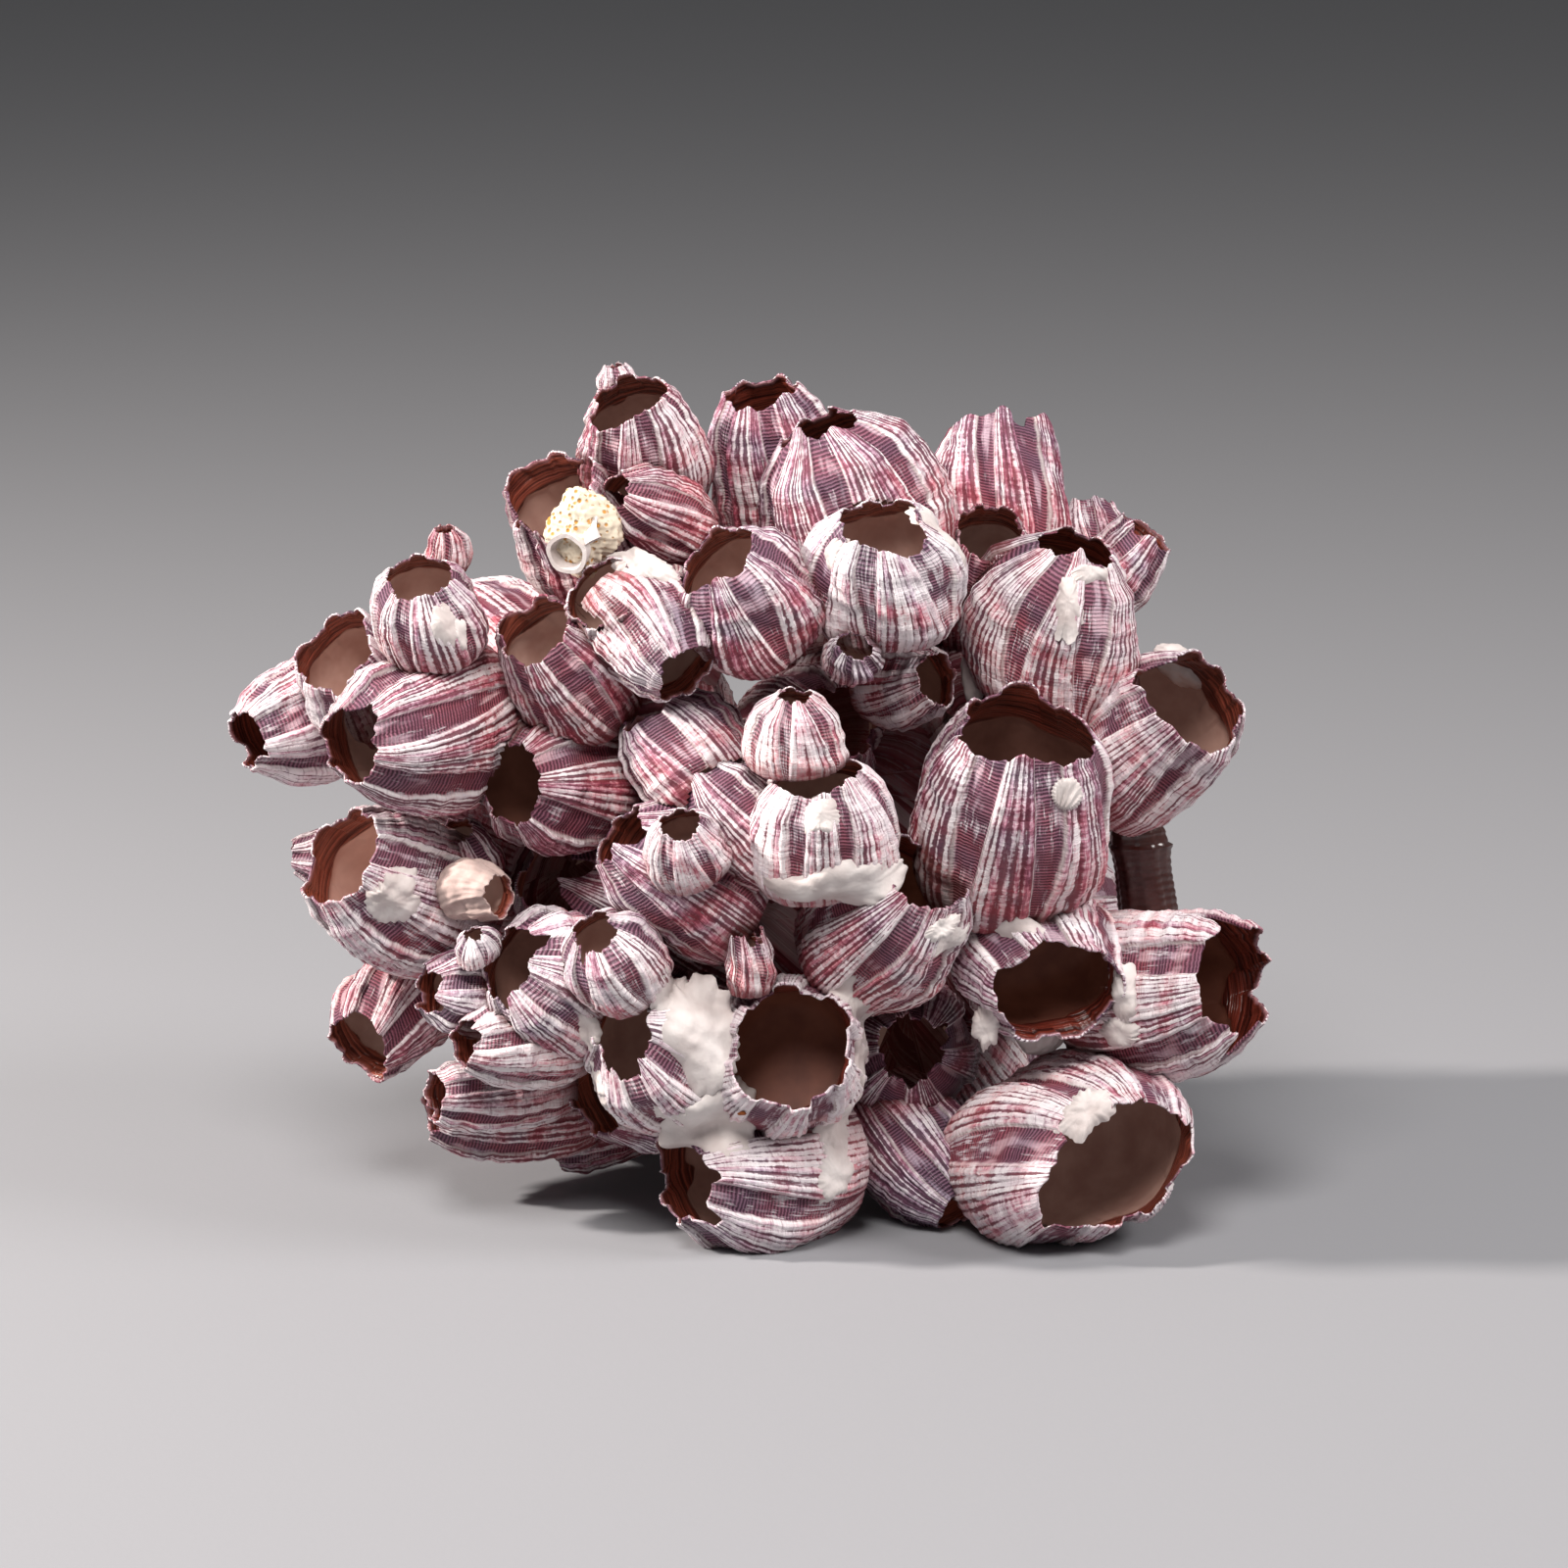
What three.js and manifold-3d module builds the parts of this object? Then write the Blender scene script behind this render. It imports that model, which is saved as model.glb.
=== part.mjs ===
// A cluster of acorn barnacles, grown on one another and cut off flat where the lowest of them stand.
//
// Frame: millimetres, +Z up, the origin on the ground under the middle of the cluster, +X to the right of
// someone who faces the front, +Y away from them.
//
// Each animal's shell is a cup of its own: a wall that swells above its foot and draws in to a thin edge
// round an open mouth, with a straight hollow that narrows to a point near the foot. Where two shells would
// fill the same space the one named first keeps it, and the other is cut back to leave a thin seam.

import * as THREE from "three";
import { mergeVertices } from "three/addons/utils/BufferGeometryUtils.js";
import Module from "manifold-3d";

const manifold = await Module();
manifold.setup();

// ---- driving dimensions, in millimetres ------------------------------------------------------------

const SEAM = 0.3; // gap left between two shells that grew against each other
const RIM = 0.8; // thickness of the wall's edge round the mouth
const GROUND_DEPTH = 60; // depth of the block that cuts the cluster off flat
const GROUND_WIDTH = 400;

// Shape of a shell, each as a share of its height or of its half width.
const FOOT_WIDTH = 0.7;
const BELLY_HEIGHT = 0.35;
const SHOULDER_HEIGHT = 0.75;
const SHOULDER_WIDTH = 0.86;
const HOLLOW_BOTTOM_HEIGHT = 0.25;
const HOLLOW_WAIST_HEIGHT = 0.58;

// Number of flat sides of a shell: few on a small one, more on a large one.
const LARGE_WIDTH = 30;
const SIDES_SMALL = 8;
const SIDES_LARGE = 10;

// ---- the animals -----------------------------------------------------------------------------------

// at:    the middle of the mouth
// turn:  degrees from the front, where 0 looks straight out of the front and 90 to the right
// rise:  degrees that the mouth looks above the level
// tall, wide, open: height from foot to mouth, greatest width, width of the mouth
const SHELLS = [
  // the front, low
  { name: "front_big_mouth", at: [9, -55, 42], turn: 0, rise: 25, tall: 23, wide: 29, open: 22 },
  { name: "front_low_left", at: [-23, -52, 44], turn: -45, rise: 25, tall: 24, wide: 28, open: 13 },
  { name: "front_bottom", at: [-12, -47, 14], turn: -55, rise: 0, tall: 34, wide: 31, open: 17 },
  { name: "front_right_low", at: [70, -50, 18], turn: 28, rise: 8, tall: 34, wide: 39, open: 25 },
  { name: "front_small", at: [-28, -53, 64], turn: -45, rise: 50, tall: 16, wide: 19, open: 8 },
  { name: "under_middle", at: [42, -33, 5], turn: 45, rise: -30, tall: 28, wide: 24, open: 13 },

  // the middle
  { name: "centre_button", at: [9, -49, 107], turn: -10, rise: 75, tall: 13, wide: 18, open: 6 },
  { name: "centre_white", at: [14, -51, 93], turn: -5, rise: 70, tall: 22, wide: 27, open: 14 },
  { name: "centre_right_big", at: [51, -41, 99], turn: 10, rise: 65, tall: 36, wide: 37, open: 23 },
  { name: "centre_right_mouth", at: [33, -49, 73], turn: 40, rise: 45, tall: 30, wide: 28, open: 16 },
  { name: "button_left", at: [-12, -57, 85], turn: -15, rise: 55, tall: 12, wide: 15, open: 7 },
  { name: "double_left", at: [-24, -43, 79], turn: -75, rise: 35, tall: 29, wide: 25, open: 12 },
  { name: "middle_fan", at: [-8, -39, 90], turn: -105, rise: 45, tall: 23, wide: 20, open: 9 },
  { name: "left_shadow", at: [-18, -27, 100], turn: -115, rise: 50, tall: 22, wide: 24, open: 13 },
  { name: "small_side", at: [36, -27, 106], turn: 45, rise: 15, tall: 18, wide: 15, open: 9 },

  // the top
  { name: "white_cap", at: [25, -37, 137], turn: -5, rise: 65, tall: 22, wide: 28, open: 15 },
  { name: "centre_left_big", at: [-5, -39, 131], turn: -50, rise: 50, tall: 21, wide: 26, open: 14 },
  { name: "crown_left", at: [-22, -13, 156], turn: -20, rise: 55, tall: 26, wide: 22, open: 13 },
  { name: "crown_front", at: [13, -13, 151], turn: -70, rise: 65, tall: 30, wide: 34, open: 12 },
  { name: "crown_middle", at: [3, 4, 155], turn: -50, rise: 75, tall: 30, wide: 26, open: 14 },
  { name: "upper_left_open", at: [-37, -16, 140], turn: -45, rise: 55, tall: 24, wide: 25, open: 19 },
  { name: "under_crown", at: [-24, -24, 141], turn: -55, rise: 30, tall: 20, wide: 16, open: 7 },
  { name: "middle_small", at: [-26, -37, 124], turn: -30, rise: 30, tall: 17, wide: 19, open: 13 },
  { name: "tilted_middle", at: [-11, -43, 110], turn: 45, rise: -30, tall: 22, wide: 21, open: 12 },

  // the right
  { name: "right_big", at: [62, -19, 129], turn: 30, rise: 70, tall: 29, wide: 34, open: 13 },
  { name: "dark_mouth", at: [46, -11, 131], turn: 10, rise: 50, tall: 28, wide: 20, open: 12 },
  { name: "far_right", at: [87, -25, 103], turn: 55, rise: 40, tall: 31, wide: 29, open: 16 },
  { name: "right_low_mouth", at: [59, -43, 49], turn: 15, rise: -15, tall: 22, wide: 29, open: 22 },
  { name: "far_right_low", at: [95, -31, 49], turn: 60, rise: 12, tall: 36, wide: 33, open: 19 },
  { name: "right_tall", at: [49, 20, 146], turn: 175, rise: 65, tall: 32, wide: 26, open: 17 },
  { name: "right_back", at: [77, 9, 127], turn: 90, rise: 50, tall: 19, wide: 15, open: 10 },

  // the left
  { name: "left_mouth_middle", at: [-44, -33, 87], turn: -40, rise: 10, tall: 23, wide: 27, open: 14 },
  { name: "left_mouth_up", at: [-39, -31, 116], turn: -40, rise: 45, tall: 23, wide: 25, open: 15 },
  { name: "left_upper", at: [-60, -33, 126], turn: -10, rise: 60, tall: 17, wide: 21, open: 12 },
  { name: "left_back_mouth", at: [-77, -21, 110], turn: -35, rise: 45, tall: 22, wide: 23, open: 16 },
  { name: "left_big_striped", at: [-74, -39, 96], turn: -45, rise: 0, tall: 34, wide: 29, open: 13 },
  { name: "far_left", at: [-95, -11, 90], turn: -55, rise: -15, tall: 29, wide: 26, open: 12 },
  { name: "left_low", at: [-76, -29, 72], turn: -50, rise: 30, tall: 32, wide: 29, open: 19 },
  { name: "left_lower_middle", at: [-44, -43, 55], turn: -55, rise: 30, tall: 22, wide: 27, open: 13 },
  { name: "left_lower_small", at: [-60, -36, 48], turn: -65, rise: 10, tall: 17, wide: 16, open: 8 },
  { name: "left_lower_front", at: [-53, -43, 39], turn: -65, rise: 5, tall: 24, wide: 17, open: 8 },
  { name: "left_bottom", at: [-74, -16, 31], turn: -40, rise: -25, tall: 22, wide: 22, open: 14 },
  { name: "left_lowest", at: [-59, -33, 26], turn: -65, rise: 0, tall: 27, wide: 15, open: 9 },
  { name: "left_under", at: [-61, -16, 18], turn: -80, rise: 0, tall: 32, wide: 18, open: 9 },

  // the back and the underside
  { name: "back_foot_left", at: [-40, 48, 8], turn: -160, rise: -30, tall: 50, wide: 38, open: 17 },
  { name: "back_foot_right", at: [46, 46, 8], turn: 160, rise: -30, tall: 50, wide: 38, open: 18 },
  { name: "back_middle_left", at: [-27, 55, 95], turn: -170, rise: 15, tall: 58, wide: 40, open: 17 },
  { name: "back_middle_right", at: [30, 57, 85], turn: 170, rise: 5, tall: 60, wide: 44, open: 18 },
  { name: "back_middle_low", at: [2, 59, 47], turn: 180, rise: -5, tall: 58, wide: 40, open: 17 },
  { name: "back_top_left", at: [-33, 35, 120], turn: -155, rise: 30, tall: 44, wide: 32, open: 15 },
  { name: "back_top_right", at: [27, 39, 125], turn: 165, rise: 30, tall: 38, wide: 34, open: 16 },
  { name: "back_left_high", at: [-60, 33, 105], turn: -145, rise: 20, tall: 44, wide: 36, open: 16 },
  { name: "back_right_high", at: [68, 35, 103], turn: 145, rise: 15, tall: 46, wide: 36, open: 17 },
  { name: "back_left", at: [-64, 37, 63], turn: -140, rise: 0, tall: 48, wide: 38, open: 18 },
  { name: "back_right", at: [70, 33, 46], turn: 135, rise: 0, tall: 46, wide: 34, open: 16 },

  // the oldest, deep inside, that the others grew on
  { name: "behind_front", at: [31, -31, 35], turn: 10, rise: 20, tall: 42, wide: 30, open: 12 },
  { name: "dark_hollow", at: [18, -21, 95], turn: 20, rise: 25, tall: 38, wide: 28, open: 14 },
  { name: "lower_hollow", at: [-29, -33, 26], turn: -55, rise: -5, tall: 36, wide: 28, open: 14 },
  { name: "deep_left", at: [-38, -19, 65], turn: -45, rise: 25, tall: 44, wide: 36, open: 14 },
];

// The crust that tube worms built between three of the upper shells.
const CRUST = { name: "worm_crust", at: [-30, -27, 134], size: [13, 10, 15] };

const SHELL_COLOUR = "#b08a90";
const CRUST_COLOUR = "#d9c9a3";

// ---- one shell -------------------------------------------------------------------------------------

function sidesOf({ wide }) {
  return wide < LARGE_WIDTH ? SIDES_SMALL : SIDES_LARGE;
}

// The outside of a shell from the middle of its foot to the edge of its mouth, grown by `extra`.
function outerProfile({ tall, wide, open }, extra) {
  const half = wide / 2;
  return [
    new THREE.Vector2(0, -extra),
    new THREE.Vector2(half * FOOT_WIDTH + extra, -extra),
    new THREE.Vector2(half + extra, tall * BELLY_HEIGHT),
    new THREE.Vector2(half * SHOULDER_WIDTH + extra, tall * SHOULDER_HEIGHT),
    new THREE.Vector2(open / 2 + RIM + extra, tall + extra),
  ];
}

// The inside of a shell from the edge of its mouth to the bottom of its hollow.
function innerProfile({ tall, open }) {
  return [
    new THREE.Vector2(open / 2, tall),
    new THREE.Vector2(open / 2, tall * HOLLOW_WAIST_HEIGHT),
    new THREE.Vector2(0, tall * HOLLOW_BOTTOM_HEIGHT),
  ];
}

function cupGeometry(shell) {
  const profile = [...outerProfile(shell, 0), ...innerProfile(shell)];
  return new THREE.LatheGeometry(profile, sidesOf(shell));
}

// The room that a shell takes up, hollow included, with the seam round it.
function roomGeometry(shell) {
  const profile = outerProfile(shell, SEAM);
  profile.push(new THREE.Vector2(0, shell.tall + SEAM));
  return new THREE.LatheGeometry(profile, sidesOf(shell));
}

// Stands a shell on its foot with its mouth at its place, looking the way it looks.
function placement({ at, turn, rise, tall }) {
  const bearing = THREE.MathUtils.degToRad(turn);
  const pitch = THREE.MathUtils.degToRad(rise);
  const level = Math.cos(pitch);
  const look = new THREE.Vector3(Math.sin(bearing) * level, -Math.cos(bearing) * level, Math.sin(pitch));
  const foot = new THREE.Vector3(...at).addScaledVector(look, -tall);
  const upright = new THREE.Quaternion().setFromUnitVectors(new THREE.Vector3(0, 1, 0), look);
  return new THREE.Matrix4().compose(foot, upright, new THREE.Vector3(1, 1, 1));
}

// ---- joining and cutting ---------------------------------------------------------------------------

function solidOf(geometry, matrix) {
  const bare = geometry.clone();
  bare.deleteAttribute("normal");
  bare.deleteAttribute("uv");
  const merged = mergeVertices(bare, 1e-4).applyMatrix4(matrix);
  return new manifold.Manifold(
    new manifold.Mesh({
      numProp: 3,
      vertProperties: new Float32Array(merged.attributes.position.array),
      triVerts: new Uint32Array(merged.index.array),
    }),
  );
}

function geometryOf(solid) {
  const { vertProperties, triVerts } = solid.getMesh();
  const geometry = new THREE.BufferGeometry();
  geometry.setAttribute("position", new THREE.BufferAttribute(vertProperties, 3));
  geometry.setIndex(new THREE.BufferAttribute(triVerts, 1));
  return geometry;
}

// A cut can leave loose flakes beyond a neighbour: only the main body is part of the shell.
function mainBody(solid) {
  return solid.decompose().reduce((most, next) => (next.volume() > most.volume() ? next : most));
}

function meshOf(name, solid, matrix, colour) {
  const geometry = geometryOf(solid).applyMatrix4(matrix.clone().invert());
  const material = new THREE.MeshStandardMaterial({ color: colour, roughness: 0.75, metalness: 0 });
  const mesh = new THREE.Mesh(geometry, material);
  mesh.name = name;
  matrix.decompose(mesh.position, mesh.quaternion, mesh.scale);
  return mesh;
}

// ---- the cluster -----------------------------------------------------------------------------------

const groundGeometry = new THREE.BoxGeometry(GROUND_WIDTH, GROUND_WIDTH, GROUND_DEPTH);
const ground = solidOf(groundGeometry, new THREE.Matrix4().makeTranslation(0, 0, -GROUND_DEPTH / 2));

const cluster = new THREE.Group();
const rooms = [];

function addPiece(name, geometry, room, matrix, colour) {
  let solid = solidOf(geometry, matrix).subtract(ground);
  for (const taken of rooms) {
    solid = solid.subtract(taken);
  }
  cluster.add(meshOf(name, mainBody(solid), matrix, colour));
  rooms.push(solidOf(room, matrix));
}

for (const shell of SHELLS) {
  addPiece(shell.name, cupGeometry(shell), roomGeometry(shell), placement(shell), SHELL_COLOUR);
}

const crustMatrix = new THREE.Matrix4().makeTranslation(...CRUST.at);
const crustGeometry = new THREE.IcosahedronGeometry(1, 1).scale(...CRUST.size.map((size) => size / 2));
addPiece(CRUST.name, crustGeometry, crustGeometry, crustMatrix, CRUST_COLOUR);

export default cluster;
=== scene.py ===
"""A cluster of striped acorn barnacles, grown on one another: every shell, its lining and its crusts."""

import math
from functools import partial

import bpy
import numpy as np
from mathutils import Matrix, Vector


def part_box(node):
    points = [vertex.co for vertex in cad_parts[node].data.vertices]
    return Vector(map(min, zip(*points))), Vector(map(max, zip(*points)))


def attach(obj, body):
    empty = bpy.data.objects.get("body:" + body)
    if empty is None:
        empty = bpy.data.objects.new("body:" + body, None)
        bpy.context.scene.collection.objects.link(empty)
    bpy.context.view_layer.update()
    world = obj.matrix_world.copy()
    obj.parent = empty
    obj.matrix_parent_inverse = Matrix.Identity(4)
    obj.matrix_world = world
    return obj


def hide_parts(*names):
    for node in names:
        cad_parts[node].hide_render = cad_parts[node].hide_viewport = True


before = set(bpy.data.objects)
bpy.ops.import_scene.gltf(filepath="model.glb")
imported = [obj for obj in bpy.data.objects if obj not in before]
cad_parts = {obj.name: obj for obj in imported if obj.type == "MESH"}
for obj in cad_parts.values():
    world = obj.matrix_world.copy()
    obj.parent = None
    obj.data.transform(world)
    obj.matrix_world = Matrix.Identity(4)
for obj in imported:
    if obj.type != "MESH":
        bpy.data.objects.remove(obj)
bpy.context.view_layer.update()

MM = 0.001

bpy.ops.object.select_all(action="DESELECT")


# ---- the animals -----------------------------------------------------------------------------------

# at:    the middle of the mouth, in millimetres
# turn:  degrees from the front, where 0 looks straight out of the front and 90 to the right
# rise:  degrees that the mouth looks above the level
# tall, wide, open: height from foot to mouth, greatest width, width of the mouth, in millimetres
# spin:  degrees that the plates are turned about the shell's own axis
# red, pale: how far the stripes go from violet to wine red, and how much of the shell is bleached
# broken: how deep the rim is notched
# ribs: millimetres between two ribs at the belly
# twist: degrees that the ribs sweep round between foot and rim
# oval, along: share that the shell is wider one way than the other, and which way, degrees round the axis
# hollow: how pale the hollow is painted, as painted light; front: millimetres that the rim is worn down towards
# the front
# cone: how much of its swelling the outline has lost, from 0 for a barrel to 1 for a cone
# bulge: millimetres that the belly leans to the side, and side: towards where, degrees round the axis
def animal(name, at, turn, rise, tall, wide, open, spin=0, red=0.5, pale=0.3, broken=0.4, ribs=1.8,
           twist=None, bulge=None, side=None, oval=0.0, along=0, hollow=0.3, front=0.0, cone=0.0):
    return dict(name=name, at=at, turn=turn, rise=rise, tall=tall, wide=wide, open=open, spin=spin,
                red=red, pale=pale, broken=broken, ribs=ribs, twist=twist, bulge=bulge, side=side,
                oval=oval, along=along, hollow=hollow, front=front, cone=cone)


ANIMALS = [
    # the front, low
    animal("front_big_mouth", (9, -55, 42), 0, 25, 23, 29, 22, 20, 0.5, 0.7, 0.3, hollow=0.0),
    animal("front_low_left", (-23, -52, 44), -45, 25, 24, 28, 13, 70, 0.4, 0.5, 0.3),
    animal("front_bottom", (-12, -47, 14), -55, 0, 34, 31, 17, 10, 0.3, 0.5, 0.6, hollow=0.3),
    animal("front_right_low", (70, -50, 18), 28, 8, 34, 39, 25, 40, 0.6, 0.5, 0.8, ribs=1.9, twist=-25,
           oval=0.13, along=15, hollow=0.4),
    animal("front_small", (-28, -53, 64), -45, 50, 16, 19, 8, 0, 0.3, 0.5, 0.5, hollow=0.5),
    animal("under_middle", (42, -33, 5), 45, -30, 28, 24, 13, 0, 0.1, 0.1, 0.4),
    # the middle
    animal("centre_button", (9, -49, 107), -10, 75, 13, 18, 6, 0, 0.6, 0.6, 0.2, ribs=1.6, cone=0.9),
    animal("centre_white", (14, -51, 93), -5, 70, 22, 27, 14, 30, 0.5, 0.6, 0.3, ribs=1.5, twist=0, cone=0.3),
    animal("centre_right_big", (51, -41, 99), 10, 65, 36, 37, 23, 15, 0.4, 0.25, 0.4, ribs=2.6,
           twist=4, bulge=0, hollow=0.15, cone=0.2),
    animal("centre_right_mouth", (33, -49, 73), 40, 45, 30, 28, 16, 0, 0.5, 0.3, 0.5, hollow=0.0),
    animal("button_left", (-12, -57, 85), -15, 55, 12, 15, 7, 0, 0.5, 0.6, 0.2, ribs=1.5, cone=0.7),
    animal("double_left", (-24, -43, 79), -75, 35, 29, 25, 12, 50, 0.3, 0.2, 0.5, ribs=1.5),
    animal("middle_fan", (-8, -39, 90), -105, 45, 23, 20, 9, 0, 0.3, 0.3, 0.4, ribs=1.5),
    animal("left_shadow", (-18, -27, 100), -115, 50, 22, 24, 13, 0, 0.3, 0.2, 0.5),
    animal("small_side", (36, -27, 106), 45, 15, 18, 15, 9, 0, 0.9, 0.6, 0.3, hollow=0.1),
    # the top
    animal("white_cap", (25, -37, 137), -5, 65, 22, 28, 15, 0, 0.2, 0.6, 0.3, hollow=0.6),
    animal("centre_left_big", (-5, -39, 131), -50, 50, 21, 26, 14, 0, 0.3, 0.2, 0.3, hollow=0.6, cone=0.4),
    animal("crown_left", (-22, -13, 156), -20, 55, 26, 22, 13, 25, 0.6, 0.3, 0.25, ribs=1.8, twist=25,
           hollow=0.4),
    animal("crown_front", (13, -13, 151), -70, 65, 30, 34, 12, 0, 0.4, 0.15, 0.15, hollow=0.1, cone=0.4),
    animal("crown_middle", (3, 4, 155), -50, 75, 30, 26, 14, 0, 0.4, 0.2, 0.4, hollow=0.1, cone=0.3),
    animal("upper_left_open", (-37, -16, 140), -45, 55, 24, 25, 19, 0, 0.5, 0.4, 1.0, hollow=0.5),
    animal("under_crown", (-24, -24, 141), -55, 30, 20, 16, 7, 0, 0.7, 0.1, 0.3),
    animal("middle_small", (-26, -37, 124), -30, 30, 17, 19, 13, 0, 0.6, 0.6, 0.4, hollow=0.6),
    animal("tilted_middle", (-11, -43, 110), 45, -30, 22, 21, 12, 0, 0.3, 0.4, 0.4),
    # the right
    animal("right_big", (62, -19, 129), 30, 70, 29, 34, 13, 0, 0.5, 0.35, 0.2, ribs=1.7, twist=5,
           hollow=0.0, cone=0.6),
    animal("dark_mouth", (46, -11, 131), 10, 50, 28, 20, 12, 0, 0.8, 0.0, 0.3, hollow=0.4),
    animal("far_right", (87, -25, 103), 55, 40, 31, 29, 16, 20, 0.5, 0.4, 0.5, ribs=1.3, twist=0,
           hollow=0.4, front=5, cone=0.3),
    animal("right_low_mouth", (59, -43, 49), 15, -15, 22, 29, 22, 0, 0.4, 0.4, 0.5, oval=0.08, along=0,
           hollow=0.0),
    animal("far_right_low", (95, -31, 49), 60, 12, 36, 33, 19, 0, 0.6, 0.5, 0.8, ribs=1.8, twist=0,
           hollow=0.0, front=4),
    animal("right_tall", (49, 20, 146), 175, 65, 32, 26, 17, 0, 0.4, 0.0, 0.5, cone=0.3),
    animal("right_back", (77, 9, 127), 90, 50, 19, 15, 10, 0, 0.4, 0.3, 0.5),
    # the left
    animal("left_mouth_middle", (-44, -33, 87), -40, 10, 23, 27, 14, 0, 0.7, 0.2, 0.3, hollow=0.05, cone=0.2),
    animal("left_mouth_up", (-39, -31, 116), -40, 45, 23, 25, 15, 0, 0.7, 0.1, 0.4, hollow=0.8, cone=0.4),
    animal("left_upper", (-60, -33, 126), -10, 60, 17, 21, 12, 0, 0.4, 0.4, 0.2, hollow=0.7),
    animal("left_back_mouth", (-77, -21, 110), -35, 45, 22, 23, 16, 0, 0.4, 0.6, 0.5, hollow=0.7),
    animal("left_big_striped", (-74, -39, 96), -45, 0, 34, 29, 13, 0, 0.5, 0.3, 0.4, ribs=1.5,
           hollow=0.4, cone=0.3),
    animal("far_left", (-95, -11, 90), -55, -15, 29, 26, 12, 0, 0.5, 0.6, 0.3, ribs=1.8, hollow=0.1,
           cone=0.5),
    animal("left_low", (-76, -29, 72), -50, 30, 32, 29, 19, 0, 0.5, 0.5, 0.4, ribs=1.8, hollow=1.0),
    animal("left_lower_middle", (-44, -43, 55), -55, 30, 22, 27, 13, 0, 0.3, 0.4, 0.5, hollow=0.2),
    animal("left_lower_small", (-60, -36, 48), -65, 10, 17, 16, 8, 0, 0.2, 0.3, 0.5),
    animal("left_lower_front", (-53, -43, 39), -65, 5, 24, 17, 8, 0, 0.6, 0.5, 0.5),
    animal("left_bottom", (-74, -16, 31), -40, -25, 22, 22, 14, 0, 0.7, 0.2, 0.3, hollow=0.6),
    animal("left_lowest", (-59, -33, 26), -65, 0, 27, 15, 9, 0, 0.6, 0.5, 0.5),
    animal("left_under", (-61, -16, 18), -80, 0, 32, 18, 9, 0, 0.6, 0.2, 0.5),
    # the back and the underside
    animal("back_foot_left", (-40, 48, 8), -160, -30, 50, 38, 17, 0, 0.5, 0.4, 0.4),
    animal("back_foot_right", (46, 46, 8), 160, -30, 50, 38, 18, 30, 0.4, 0.4, 0.4),
    animal("back_middle_left", (-27, 55, 95), -170, 15, 58, 40, 17, 0, 0.4, 0.3, 0.4),
    animal("back_middle_right", (30, 57, 85), 170, 5, 60, 44, 18, 20, 0.5, 0.4, 0.4),
    animal("back_middle_low", (2, 59, 47), 180, -5, 58, 40, 17, 40, 0.6, 0.3, 0.4),
    animal("back_top_left", (-33, 35, 120), -155, 30, 44, 32, 15, 0, 0.4, 0.4, 0.4),
    animal("back_top_right", (27, 39, 125), 165, 30, 38, 34, 16, 15, 0.5, 0.4, 0.4),
    animal("back_left_high", (-60, 33, 105), -145, 20, 44, 36, 16, 0, 0.5, 0.3, 0.4),
    animal("back_right_high", (68, 35, 103), 145, 15, 46, 36, 17, 10, 0.4, 0.4, 0.4),
    animal("back_left", (-64, 37, 63), -140, 0, 48, 38, 18, 25, 0.5, 0.4, 0.4),
    animal("back_right", (70, 33, 46), 135, 0, 46, 34, 16, 0, 0.6, 0.3, 0.4),
    # the oldest, deep inside, that the others grew on
    animal("behind_front", (31, -31, 35), 10, 20, 42, 30, 12, 0, 0.6, 0.1, 0.5, hollow=0.6),
    animal("dark_hollow", (18, -21, 95), 20, 25, 38, 28, 14, 0, 0.7, 0.1, 0.5, hollow=0.5),
    animal("lower_hollow", (-29, -33, 26), -55, -5, 36, 28, 14, 0, 0.5, 0.1, 0.5),
    animal("deep_left", (-38, -19, 65), -45, 25, 44, 36, 14, 0, 0.6, 0.1, 0.5),
]

# Shells too small to be solids of their own in the frame.
YOUNG = [
    animal("crown_bud", (-25, -3, 161), -65, 80, 8, 7, 3, 0, 0.5, 0.6, 0.3),
    animal("right_back_small", (66, 21, 130), -170, 65, 16, 14, 8, 0, 0.5, 0.4, 0.4),
    animal("tiny_grey", (20, -42, 115), 10, 35, 9, 10, 5, 0, 0.2, 0.2, 0.2),
    animal("tip_button", (-56, -21, 133), 0, 80, 8, 8, 3, 0, 0.9, 0.3, 0.2, cone=0.8),
    animal("tiny_left", (-88, 4, 64), -85, 5, 14, 10, 5, 0, 0.5, 0.3, 0.3),
    animal("rib_button", (-51, -41, 60), -40, 65, 5, 9, 3, 0, 0.1, 0.5, 0.2, ribs=1.1, cone=0.8),
    animal("front_bud", (0, -50, 63), -30, 80, 12, 9, 6, 0, 0.7, 0.4, 1.4, cone=0.3),
    animal("bottom_small", (-37, -6, 6), -85, -20, 18, 10, 4, 0, 0.6, 0.3, 0.3),
    animal("stump_on_left_low", (-46, -36, 66), 50, 5, 12, 11, 7, 0, 0.4, 1.1, 0.2, hollow=0.8),
    animal("deep_small", (-55, -21, 75), -25, 55, 14, 12, 6, 0, 0.6, 0.1, 0.3),
]


# ---- how a shell grows -----------------------------------------------------------------------------

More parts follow.
